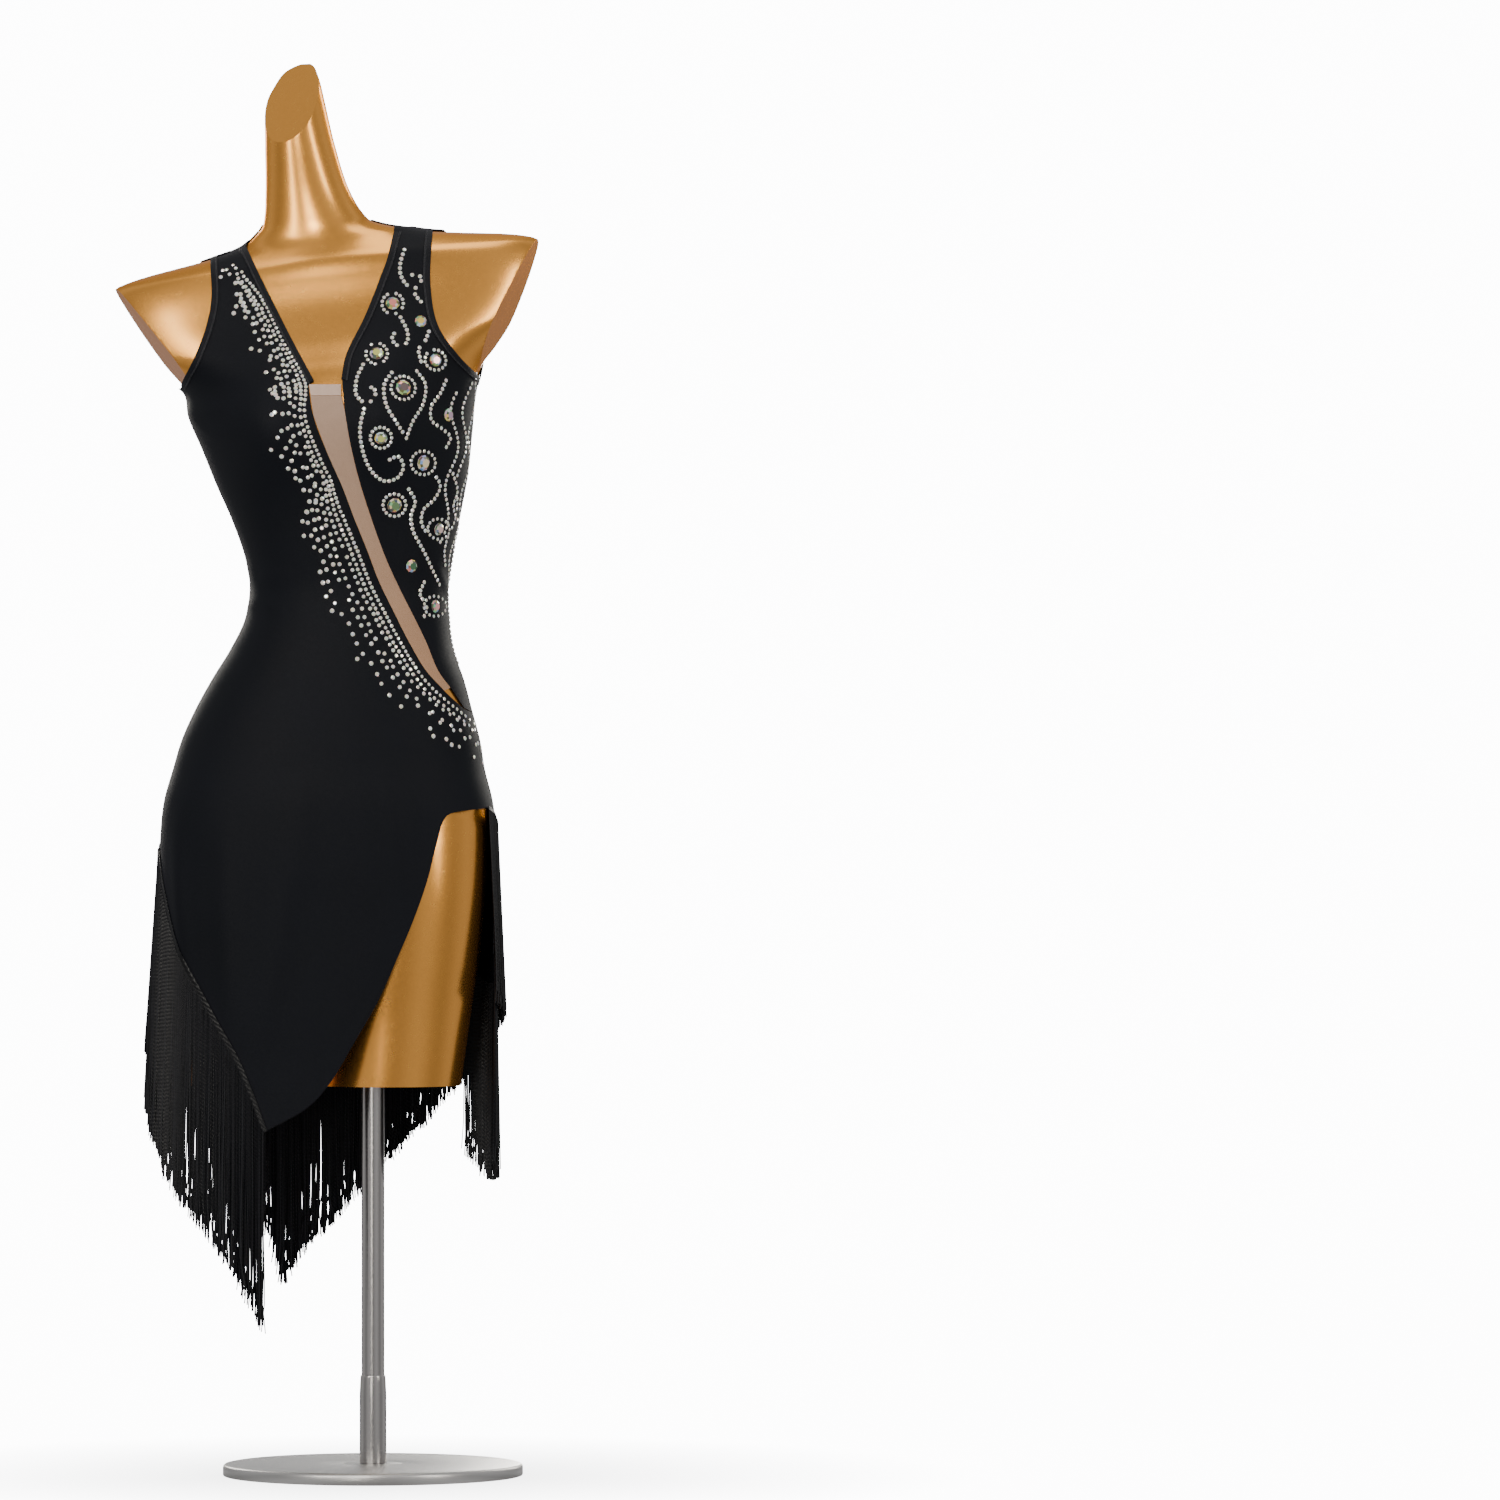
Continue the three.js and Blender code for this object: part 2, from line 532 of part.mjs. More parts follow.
// A folded band sewn along an outline, its middle moved aside onto the cloth
function makeBinding(outline, side, aside) {
  const places = walk(outline, side, BINDING_STEP, BINDING_TURN);
  const middle = places.map(({ height, angle }) => onForm(DRESS_ROWS, height, angle));
  const lie = CLOTH_OUTSIDE + SEAM_GAP;
  const rings = places.map(({ height, angle }, i) => {
    const way = middle[Math.min(i + 1, middle.length - 1)].clone().sub(middle[Math.max(i - 1, 0)]);
    const across = way.cross(normalAt(DRESS_ROWS, height, angle)).normalize();
    const corner = (shift, lift) => {
      const p = middle[i].clone().addScaledVector(across, aside + shift);
      const place = seenAt(p.x, p.z, side);
      return onFacet(place.height, place.angle, lift);
    };
    const half = BINDING_WIDTH / 2;
    return [
      corner(-half, lie), corner(half, lie),
      corner(half, lie + BINDING_WALL), corner(-half, lie + BINDING_WALL),
    ];
  });
  const plane = [[-FAR, 0], [FAR, 0], [FAR, FAR * 4], [-FAR, FAR * 4]];
  const half = side === BACK ? prism(plane, HALF_SEAM, DEEP) : prism(plane, -DEEP, -HALF_SEAM);
  return clearOfCloth(closedSolid(skin(rings)).intersect(half));
}

function makeBindings() {
  const inwards = BINDING_WIDTH / 2 + 0.5;
  return {
    binding_neck_right: makeBinding(NECKLINE_RIGHT, FRONT, inwards),
    binding_neck_left: makeBinding(NECKLINE_LEFT, FRONT, -inwards),
    binding_armhole_right: makeBinding(ARMHOLE_RIGHT, FRONT, -inwards),
    binding_armhole_left: makeBinding(ARMHOLE_LEFT, FRONT, inwards),
    binding_back_armhole_right: makeBinding(BACK_ARMHOLE_RIGHT, BACK, inwards),
    binding_back_armhole_left: makeBinding(BACK_ARMHOLE_LEFT, BACK, -inwards),
    binding_opening_right: makeBinding(OPENING_RIGHT, BACK, -inwards),
    binding_opening_left: makeBinding(OPENING_LEFT, BACK, inwards),
  };
}

// A repeatable uneven value from 0 to 1 for strand number i
const uneven = (i) => Math.abs(Math.sin(i * 12.9898) * 43758.5453) % 1;

// One strand: three-sided, hanging from its root, leaning out a little and ending in a tip
function strand(root, out, length, sway) {
  const hang = [[0, 1], [1, STRAND_TIP]];
  const rings = hang.map(([down, wide]) => {
    const at = root.clone().addScaledVector(out, sway * down).add(new THREE.Vector3(0, 0, -length * down));
    const side = new THREE.Vector3(-out.y, out.x, 0).multiplyScalar((STRAND_WIDTH / 2) * wide);
    const outer = out.clone().multiplyScalar(STRAND_WIDTH * STRAND_DEEP * wide);
    return [at.clone().add(side), at.clone().sub(side), at.clone().add(outer)];
  });
  return closedSolid(skin(rings));
}

// A fringe: its heading tape along the hem, with strands fused to it. Seen from above they stand
// evenly apart, and their length and lean change from one end of the hem to the other.
function fringe(places, lift, lengths, sways) {
  const heading = ribbon(places, HEADING_WIDTH, lift, HEADING_WALL);
  const points = places.map(({ height, angle }) => onForm(DRESS_ROWS, height, angle));
  const reach = [0];
  for (let i = 1; i < points.length; i += 1) {
    reach.push(reach[i - 1] + Math.hypot(points[i].x - points[i - 1].x, points[i].y - points[i - 1].y));
  }
  const whole = reach[reach.length - 1];
  const count = Math.floor(whole / STRAND_PITCH);
  const strands = [];
  for (let i = 0; i < count; i += 1) {
    const share = (i + 0.5) / count;
    const first = reach.findIndex((r) => r > share * whole) - 1;
    const part = (share * whole - reach[first]) / (reach[first + 1] - reach[first]);
    const height = THREE.MathUtils.lerp(places[first].height, places[first + 1].height, part);
    const angle = THREE.MathUtils.lerp(places[first].angle, places[first + 1].angle, part);
    const out = normalAt(DRESS_ROWS, height, angle).setZ(0).normalize();
    const root = raised(DRESS_ROWS, height, angle, lift + STRAND_ROOT);
    const length = THREE.MathUtils.lerp(...lengths, share) - STRAND_UNEVEN * uneven(i);
    strands.push(strand(root, out, length, THREE.MathUtils.lerp(...sways, share)));
  }
  return strands.reduce((sum, one) => sum.add(one), heading);
}

function evenPlaces(outline, side, step, from = 0, to = 1) {
  const places = walk(outline, side, step);
  return places.slice(Math.round(from * (places.length - 1)), Math.round(to * (places.length - 1)) + 1);
}

const drapeHem = (share) => DRAPE.hem + DRAPE.hemRise * (2 * share - 1) ** 2;

function makeFringes() {
  const lie = CLOTH_OUTSIDE + SEAM_GAP;
  const step = 12;
  const side = SIDE_FRINGE.map(([turn, height]) => ({ height, angle: THREE.MathUtils.degToRad(turn) }));
  const drape = [];
  for (let i = 0; i <= 6; i += 1) {
    const share = i / 6;
    const turn = THREE.MathUtils.lerp(DRAPE.from + 2, DRAPE.to - 2, share);
    const height = drapeHem(share) + 6;
    drape.push({ height, angle: THREE.MathUtils.degToRad(turn) });
  }
  return {
    fringe_front: fringe(evenPlaces(FRONT_HEM, FRONT, step, 0.03), lie, [262, 200], [12, 2]),
    fringe_back_right: fringe(evenPlaces(BACK_HEM_RIGHT, BACK, step), lie, [205, 214], [12, 2]),
    fringe_back_left: fringe(evenPlaces(BACK_HEM_LEFT, BACK, step, 0.02, 0.72), lie, [214, 195], [2, 6]),
    fringe_side: fringe(side, lie + 0.4, [195, 192], [4, 8]),
    fringe_drape: fringe(drape, CLOTH_LIFT + 0.2, [205, 205], [0, 0]),
  };
}

// The corner of skirt behind the slit lies inside the back panel's edge
function makeDrape() {
  const steps = 8;
  const rings = [];
  for (let i = 0; i <= steps; i += 1) {
    const share = i / steps;
    const angle = THREE.MathUtils.degToRad(THREE.MathUtils.lerp(DRAPE.from, DRAPE.to, share));
    const hem = drapeHem(share);
    const at = (height, lift) => raised(DRESS_ROWS, height, angle, lift);
    const outer = CLOTH_LIFT - SEAM_GAP;
    const inner = outer - CLOTH_WALL;
    const middle = (DRAPE.top + hem) / 2;
    rings.push([
      at(hem, inner), at(hem, outer), at(middle, outer), at(DRAPE.top, outer),
      at(DRAPE.top, inner), at(middle, inner),
    ]);
  }
  return closedSolid(skin(rings)).intersect(loft(DRESS_ROWS, AROUND, CLOTH_LIFT - SEAM_GAP));
}

function makeStand() {
  const tubeLength = TUBE_TOP - FOOT_HEIGHT - SEAT_GAP;
  const tube = new THREE.CylinderGeometry(TUBE_RADIUS, TUBE_RADIUS, tubeLength, TUBE_AROUND);
  tube.rotateX(Math.PI / 2);
  tube.translate(0, 0, (TUBE_TOP + FOOT_HEIGHT + SEAT_GAP) / 2);
  const lathe = (profile, segments) => {
    const geometry = new THREE.LatheGeometry(profile.map(([r, z]) => new THREE.Vector2(r, z)), segments);
    geometry.rotateX(Math.PI / 2);
    return geometry;
  };
  const bore = TUBE_RADIUS + SEAT_GAP;
  const foot = lathe([
    [0, 0], [FOOT_RADIUS, 0], [FOOT_RADIUS, FOOT_HEIGHT - FOOT_CHAMFER],
    [FOOT_RADIUS - FOOT_CHAMFER, FOOT_HEIGHT], [0, FOOT_HEIGHT],
  ], 32);
  const sleeve = lathe([
    [bore, FOOT_HEIGHT + SEAT_GAP], [SLEEVE_RADIUS, FOOT_HEIGHT + SEAT_GAP],
    [SLEEVE_RADIUS, SLEEVE_TOP - SLEEVE_TAPER], [bore + 0.8, SLEEVE_TOP], [bore, SLEEVE_TOP],
    [bore, FOOT_HEIGHT + SEAT_GAP],
  ], 16);
  return { tube, sleeve, foot };
}

// A cut stone: a low faceted dome that sits on the cloth, facing out
function makeStone({ x, z, radius }) {
  const { height, angle } = seenAt(x, z, FRONT);
  const tall = radius * STONE_HEIGHT;
  const profile = [[0, 0], [radius, 0], [radius * STONE_TABLE, tall], [0, tall]];
  const points = profile.map(([r, up]) => new THREE.Vector2(r, up));
  const geometry = new THREE.LatheGeometry(points, STONE_AROUND);
  const out = normalAt(DRESS_ROWS, height, angle);
  geometry.applyQuaternion(new THREE.Quaternion().setFromUnitVectors(new THREE.Vector3(0, 1, 0), out));
  const seat = onFacet(height, angle, CLOTH_OUTSIDE + SEAM_GAP);
  geometry.translate(seat.x, seat.y, seat.z);
  return toGeometry(clearOfCloth(toSolid(geometry)));
}

function makeClasp() {
  const lie = CLOTH_OUTSIDE + SEAM_GAP;
  const at = (x, z, lift) => {
    const { height, angle } = seenAt(x, z, BACK);
    return onFacet(height, angle, lift);
  };
  const half = CLASP.width / 2;
  const levels = [CLASP.bottom, ...turned(CLASP.beads), CLASP.top];
  const rings = levels.map((z) => [
    at(CLASP.x - half, z, lie), at(CLASP.x + half, z, lie),
    at(CLASP.x + half, z, lie + CLASP.wall), at(CLASP.x - half, z, lie + CLASP.wall),
  ]);
  const beads = CLASP.beads.map((z) => {
    const bead = new THREE.SphereGeometry(CLASP.bead, 8, 6);
    const seat = at(CLASP.x, z, lie + CLASP.wall + SEAM_GAP + CLASP.bead);
    bead.translate(seat.x, seat.y, seat.z);
    return bead;
  });
  return { tab: clearOfCloth(closedSolid(skin(rings))), beads };
}

const dress = new THREE.Group();

function add(name, geometry, material) {
  const mesh = new THREE.Mesh(geometry, material);
  mesh.name = name;
  dress.add(mesh);
}

const stand = makeStand();
add('stand_foot', stand.foot, finish.foot);
add('stand_sleeve', stand.sleeve, finish.steel);
add('stand_tube', stand.tube, finish.steel);
add('form_body', toGeometry(makeForm()), finish.gold);

const pieceFinish = { mesh_inset: finish.mesh, inset_elastic: finish.elastic };
const pieces = cutPieces(makeWall());
Object.entries(pieces).forEach(([name, solid]) => {
  add(name, toGeometry(solid), pieceFinish[name] ?? finish.lycra);
});
add('side_drape', toGeometry(makeDrape()), finish.lycra);
Object.entries(makeBindings()).forEach(([name, solid]) => add(name, toGeometry(solid), finish.lycra));
Object.entries(makeFringes()).forEach(([name, solid]) => add(name, toGeometry(solid), finish.fringe));

const clasp = makeClasp();
add('clasp_tab', toGeometry(clasp.tab), finish.lycra);
add('clasp_bead_upper', clasp.beads[0], finish.stone);
add('clasp_bead_lower', clasp.beads[1], finish.stone);
STONES.forEach((stone, i) => add(`stone_${String(i + 1).padStart(2, '0')}`, makeStone(stone), finish.stone));

export default dress;
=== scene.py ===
"""Looks of a latin dance dress on a gold dress form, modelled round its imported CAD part.

Tables are in millimetres, as in the part's source, and meshes in metres. The frame is the
part's own: the dress's front towards -Y, +Z up, the floor at Z = 0 under the middle of the tube.
"""

import math

import bmesh
import bpy
import numpy as np
from mathutils import Matrix, Vector


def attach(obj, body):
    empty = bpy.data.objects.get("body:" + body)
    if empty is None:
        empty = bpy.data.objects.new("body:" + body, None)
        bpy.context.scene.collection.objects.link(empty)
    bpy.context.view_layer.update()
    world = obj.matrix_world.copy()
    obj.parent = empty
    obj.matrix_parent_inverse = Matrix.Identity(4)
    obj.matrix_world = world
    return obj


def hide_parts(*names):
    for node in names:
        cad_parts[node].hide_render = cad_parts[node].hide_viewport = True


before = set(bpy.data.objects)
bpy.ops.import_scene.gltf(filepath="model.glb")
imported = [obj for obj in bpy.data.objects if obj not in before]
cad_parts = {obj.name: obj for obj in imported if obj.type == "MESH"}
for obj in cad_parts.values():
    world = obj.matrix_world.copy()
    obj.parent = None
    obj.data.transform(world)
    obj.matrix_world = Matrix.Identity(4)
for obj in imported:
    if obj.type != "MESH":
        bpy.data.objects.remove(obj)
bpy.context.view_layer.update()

bl_info = {
    "name": "Latin dance dress on a dress form",
    "version": (1, 0, 0),
    "blender": (4, 5, 0),
    "location": "3D View > Sidebar > Dance dress",
    "description": "Makes a fringed, stone-set dance dress, the form that wears it and its stand",
    "category": "Add Mesh",
}

MM = 0.001
# A full turn for each millimetre, for waves on coordinates in metres
TURN_PER_METRE = 6283.0
FRONT, BACK = -1, 1
# Past the dress at its sides, at its front and back, and above its straps
FAR, DEEP, OVER = 340, 200, 1290
LEAN_AXIS = -47
SEAM = 0.3

# height, left, right, front, back, square, lean
NECK = [
    (1412, -90, -60, 18, 16, 2, 0), (1404, -98, -56.5, 30, 25, 2, 0),
    (1392, -102.5, -52.5, 36, 30, 2, 0), (1375, -107.5, -48.5, 38, 32, 2, 0),
    (1330, -108, -38, 38, 35, 2, 0), (1285, -107.5, -23.5, 37, 44, 2, 0),
]
TORSO = [
    (1253, -110, -4, 38, 56, 2, 0.06), (1245, -118, 12, 39, 58, 1.9, 0.09),
    (1237, -131, 35, 41, 60, 1.8, 0.12), (1231, -151, 59, 43, 62, 1.7, 0.12),
    (1226, -183, 90, 45, 64, 1.65, 0.12), (1219, -230, 137, 48, 68, 1.7, 0.12),
    (1211, -258, 164, 52, 70, 1.95, 0.12), (1195, -263, 169, 56, 75, 2.3, 0.12),
    (1165, -259, 166, 64, 83, 2.5, 0.12), (1134, -240, 153, 76, 90, 2.45, 0.12),
    (1113, -207, 127, 86, 94, 2.3, 0.11), (1096, -188, 110, 93, 97, 2.2, 0.1),
    (1070, -183, 102, 97, 95, 2.25, 0.09), (1035, -170, 98, 98, 90, 2.25, 0.06),
    (995, -155, 93.5, 96, 81, 2.25, 0.04), (955, -138.5, 85.5, 91, 73, 2.2, 0.02),
    (915, -125.5, 77.5, 86, 68, 2.2, 0), (885, -121.5, 73.5, 83, 67, 2.2, 0),
    (855, -126.5, 74.5, 85, 72, 2.2, 0), (825, -141, 79, 88, 82, 2.2, 0),
    (795, -159.5, 89.5, 92, 93, 2.2, 0), (765, -176, 97.5, 96, 103, 2.2, 0),
    (735, -189.5, 105.5, 99, 110, 2.2, 0), (705, -198.5, 110.5, 101, 114, 2.25, 0),
]
SEAT = [
    (675, -205, 114, 101, 115, 2.25, 0), (645, -205, 111, 96, 108, 2.25, 0),
    (615, -196, 102, 88, 98, 2.25, 0), (590, -178, 84, 74, 82, 2.2, 0),
    (570, -140, 46, 50, 55, 2.1, 0),
]
SKIRT = [
    (675, -207, 118, 103, 117, 2.3, 0), (645, -210.5, 121.5, 103, 116, 2.35, 0),
    (605, -212, 122.5, 102, 113, 2.4, 0), (565, -212, 123, 100, 109, 2.5, 0),
    (515, -211, 122.5, 98, 104, 2.5, 0), (465, -210, 121, 96, 101, 2.5, 0),
    (415, -209, 119, 94, 99, 2.5, 0), (330, -208, 117, 92, 96, 2.5, 0),
]
SLIT_THIGH = [
    (715, -50, 96, 80, 92, 2, 0), (685, -52, 109, 86, 96, 2, 0), (660, -53, 114, 89, 98, 2, 0),
    (625, -52, 114.5, 91, 99, 2.05, 0), (575, -48, 112, 90, 94, 2.1, 0),
    (515, -50, 106, 85, 86, 2.1, 0), (455, -53, 97, 77, 78, 2.1, 0), (390, -56, 88, 71, 72, 2.1, 0),
]
FAR_THIGH = [
    (715, -182, -45, 78, 88, 2, 0), (685, -195, -44, 81, 91, 2, 0), (660, -200, -43, 84, 93, 2, 0),
    (625, -204, -45, 86, 94, 2, 0), (575, -204, -54, 85, 90, 2, 0),
    (515, -200, -58, 83, 85, 2.05, 0), (455, -194, -62, 77, 78, 2.1, 0), (390, -183, -65, 71, 72, 2.1, 0),
]
FORM = NECK + TORSO + SEAT
DRESS = NECK[-1:] + TORSO + SKIRT
FORM_GRID, THIGH_GRID, WALL_GRID = (208, 330), (144, 120), (300, 330)
WALL_ENDS = (1284, 332)
COLUMNS = ("height", "left", "right", "front", "back", "square", "lean")
BUST = [(-103, 1042, 25, 46, 50), (19, 1054, 25, 46, 50)]

# Flat cuts of the form
NECK_CUT = ((-79, 0, 1385), (-0.45, -0.72, 0.53))
ARM_CUTS = [((-259, 1188), (-184, 1085), -1, 9), ((166, 1238), (105, 1096), 1, -9)]
ARM_CUT_REACH = 90
RIM_ROUND, CAP_INSET, CAP_AREA = 1.8, 1.0, 0.0008
SPINE_X, SPINE_LOW, SPINE_HIGH, SPINE_DEPTH, SPINE_WIDTH = -38, 800, 1230, 3.4, 15
# The thighs are blended into the body between these heights, in metres
BLEND_LOW, BLEND_HIGH = 0.42, 0.74

# Edges of the cut pieces, seen from the front: x from the tube's middle and z from the floor
NECKLINE_RIGHT = [(-126, 1227), (-104, 1183), (-78, 1132), (-55, 1090)]
NECKLINE_LEFT = [(22, 1240), (17, 1215), (10, 1195), (-5, 1155), (-23, 1115), (-27, 1091)]
INSET_RIGHT = [
    (-60, 1087), (-55, 1056), (-41, 1018), (-27, 986), (-15, 954), (-3, 924), (9, 892),
    (23, 863), (38, 833), (55, 804), (73, 784), (92, 766),
]
INSET_LEFT = [
    (-27, 1091), (-24, 1062), (-18, 1027), (-9, 989), (3, 951), (16, 915), (29, 886),
    (42, 860), (55, 833), (67, 804), (79, 787), (92, 767),
]
INSET_TIP = (107, 759)
ELASTIC = 11
ARMHOLE_RIGHT = [(-161, 1218), (-158, 1175), (-163, 1145), (-174, 1115), (-189, 1090)]
ARMHOLE_LEFT = [(60, 1240), (59, 1185), (67, 1145), (88, 1115), (106, 1097)]
UNDERARM_RIGHT = [(-FAR, 1079), (-191, 1086)]
FRONT_HEM = [
    (-211.5, 627), (-210, 613), (-207, 590), (-191, 528), (-160, 466), (-131, 413), (-105, 346),
]
SLIT_EDGE = [
    (-105, 346), (-61, 371), (-39, 395), (-15, 435), (8, 475), (26, 515), (43, 555),
    (57, 595), (67, 635), (73, 655), (79, 661.5), (113, 667),
]
BACK_ARMHOLE_LEFT = [
    (60, 1249), (74, 1240), (86, 1217), (96, 1183), (105, 1155), (109, 1130), (106, 1097),
]
BACK_ARMHOLE_RIGHT = [
    (-160, 1229), (-171, 1214), (-185, 1186), (-196, 1158), (-202, 1125), (-198, 1104), (-189, 1090),
]
OPENING_LEFT = [
    (11, 1231), (23, 1215), (45, 1175), (62, 1135), (77, 1095), (87, 1055), (90, 1020),
    (86, 995), (78, 975), (60, 955), (38, 935), (12, 915), (-12, 895), (-32, 880),
]
OPENING_RIGHT = [
    (-107, 1223), (-113, 1215), (-131, 1175), (-142, 1135), (-154, 1095), (-159, 1055), (-156, 1025),
    (-140, 995), (-125, 975), (-109, 955), (-91, 935), (-72, 915), (-54, 895), (-32, 880),
]
BACK_HEM_RIGHT = [
    (-211.5, 627), (-206, 613), (-189, 584), (-160, 528), (-130, 484), (-112, 454), (-93, 398),
]
BACK_HEM_LEFT = [
    (-93, 398), (-78, 427), (-48, 454), (-15, 491), (19, 525), (50, 554), (76, 584), (108, 607),
    (117, 625), (122, 645),
]
BAND_TOP, BAND_BOTTOM = 1254, 1224
BAND_RIGHT = [(-117, 1250), (-107, 1223)]
BAND_LEFT = [(21, 1256), (11, 1231)]
CLASP_X = -50
DRAPE_FROM, DRAPE_TO, DRAPE_TOP, DRAPE_HEM, DRAPE_RISE = -8, 42, 652, 492, 30
CORD_SIDES, CORD_STEPS = 4, 7
SIDE_FRINGE = [(34, 612), (22, 632), (10, 646), (0, 654), (-8, 660), (-16, 665)]

# The large set stones of the left bodice: x, z and radius
STONES = [
    (22, 1168, 7), (50, 1150, 6), (7, 1117, 7), (64, 1112, 6.5), (33, 1083, 8), (76, 1058, 6.5),
    (12, 1034, 6.5), (52, 1010, 8), (24, 968, 7.5), (66, 945, 6.5), (40, 908, 6.5), (62, 868, 6.5),
]

# The rows of small stones along the right front: distance from its edge, and pitch
SCATTER_ROWS = [
    (9.0, 4.7), (13.8, 5.2), (19.6, 6.6), (26, 7.8), (33, 9.2), (40.5, 10.8), (48.5, 12.6), (57, 14.6),
]
# Which of the large stones have no ring round them, and how the other rows are set
UNRINGED = (1, 5, 10)
RING_GAP, RING_PITCH, ROW_PITCH, BACK_PITCH = 3.6, 4.3, 4.6, 4.5

# Folds pulled into the cloth: points of (turn in degrees, height), width and rise
FOLDS = [
    ([(-172, 905), (-150, 893), (-125, 899)], 9, 1.6),
    ([(-176, 868), (-150, 872), (-128, 866)], 8, 1.3),
    ([(178, 880), (152, 868), (130, 872)], 9, 1.6),
    ([(3, 892), (24, 880), (48, 884)], 8, 1.5),
    ([(2, 858), (26, 862), (44, 856)], 8, 1.2),
    ([(-30, 905), (-14, 890), (-2, 880)], 7, 1.2),
    ([(-168, 1070), (-150, 1050), (-132, 1046)], 9, 1.3),
    ([(70, 690), (73, 610), (76, 520), (79, 440)], 15, 4.2),
    ([(98, 690), (99, 600), (101, 500), (104, 410)], 13, 3.2),
    ([(122, 668), (124, 590), (126, 520), (128, 470)], 15, 4.0),
    ([(147, 650), (149, 590), (151, 540)], 12, 2.6),
    ([(46, 670), (50, 610), (54, 570)], 13, 3.0),
    ([(-150, 650), (-146, 570), (-142, 500)], 14, 2.8),
    ([(-122, 640), (-120, 540), (-118, 440)], 13, 2.4),
    ([(-96, 690), (-98, 600), (-104, 500), (-112, 400)], 12, 2.2),
    ([(-70, 700), (-68, 640), (-66, 590)], 9, 1.4),
]


def between(rows, height, name):
    """Smooth value of one column between the rows of a section table, as in the part's source."""
    tops = np.array([row[0] for row in rows], float)
    values = np.array([row[COLUMNS.index(name)] for row in rows], float)
    a = np.clip(np.searchsorted(-tops, -np.asarray(height, float), side="left") - 1, 0, len(rows) - 2)
    b = a + 1
    before, after = np.maximum(a - 1, 0), np.minimum(a + 2, len(rows) - 1)
    span = tops[b] - tops[a]
    t = np.clip((height - tops[a]) / span, 0, 1)
    slope_a = (values[b] - values[before]) / (tops[b] - tops[before]) * span
    slope_b = (values[after] - values[a]) / (tops[after] - tops[a]) * span
    t2, t3 = t * t, t * t * t
    return ((2 * t3 - 3 * t2 + 1) * values[a] + (t3 - 2 * t2 + t) * slope_a
            + (3 * t2 - 2 * t3) * values[b] + (t3 - t2) * slope_b)


def signed_power(value, power):
    return np.sign(value) * np.abs(value) ** power


def on_form(rows, height, angle):
    """Points of the surface: angle 0 is the slit's side, 90 degrees the back, -90 the front."""
    height, angle = np.asarray(height, float), np.asarray(angle, float)
    left, right = between(rows, height, "left"), between(rows, height, "right")
    power = 2 / between(rows, height, "square")
    x = (left + right) / 2 + (right - left) / 2 * signed_power(np.cos(angle), power)
    z = height + between(rows, height, "lean") * (x - LEAN_AXIS)
    rise = sum(r * np.exp(-((x - bx) / w) ** 2 - ((z - bz) / h) ** 2) for bx, bz, r, w, h in BUST)
    depth = np.where(np.sin(angle) < 0, between(rows, height, "front") + rise, between(rows, height, "back"))
    return np.stack([x, depth * signed_power(np.sin(angle), power), z], axis=-1)


def unit(directions):
    return directions / np.linalg.norm(directions, axis=-1, keepdims=True)


def normal_at(rows, height, angle):
    turn, rise = 0.02, 2
    along = on_form(rows, height, angle + turn) - on_form(rows, height, angle - turn)
    up = on_form(rows, height + rise, angle) - on_form(rows, height - rise, angle)
    return unit(np.cross(along, up))


def seen_at(x, z, side):
    """Height and angle of the dress under points seen from the front or the back."""
    x, z = np.asarray(x, float), np.asarray(z, float)
    height = z.copy()
    for _ in range(6):
        height = z - between(DRESS, height, "lean") * (x - LEAN_AXIS)
    left, right = between(DRESS, height, "left"), between(DRESS, height, "right")
    power = 2 / between(DRESS, height, "square")
    across = np.clip((x - (left + right) / 2) / ((right - left) / 2), -1, 1)
    return height, side * np.arccos(signed_power(across, 1 / power))


def folds(height, angle):
    """How far the cloth stands out in its folds, in millimetres."""
    turn = np.degrees(angle)
    lift = np.zeros(np.broadcast(height, angle).shape)
    for path, wide, rise in FOLDS:
        best = np.full(lift.shape, 1e9)
        share = np.zeros(lift.shape)
        for i in range(len(path) - 1):
            (a0, h0), (a1, h1) = path[i], path[i + 1]
            span = np.array([(a1 - a0) * 2.3, h1 - h0])
            gone = np.stack([((turn - a0 + 180) % 360 - 180) * 2.3, height - h0], axis=-1)
            t = np.clip(gone @ span / (span @ span), 0, 1)
            d = np.linalg.norm(gone - t[..., None] * span, axis=-1)
            nearer = d < best
            best = np.where(nearer, d, best)
            share = np.where(nearer, (i + t) / (len(path) - 1), share)
        taper = np.sin(np.pi * np.clip(share * 0.86 + 0.07, 0, 1)) ** 0.7
        lift += rise * taper * np.exp(-(best / wide) ** 2)
    return lift


def on_cloth(height, angle, lift):
    """Points that lie a lift off the dress's inside, folds included."""
    height, angle = np.asarray(height, float), np.asarray(angle, float)
    out = normal_at(DRESS, height, angle)
    reach = np.asarray(lift + folds(height, angle))
    return on_form(DRESS, height, angle) + out * reach[..., None]


def between_knots(s, low, high, first, second):
    return (high - s) / (high - low) * first + (s - low) / (high - low) * second


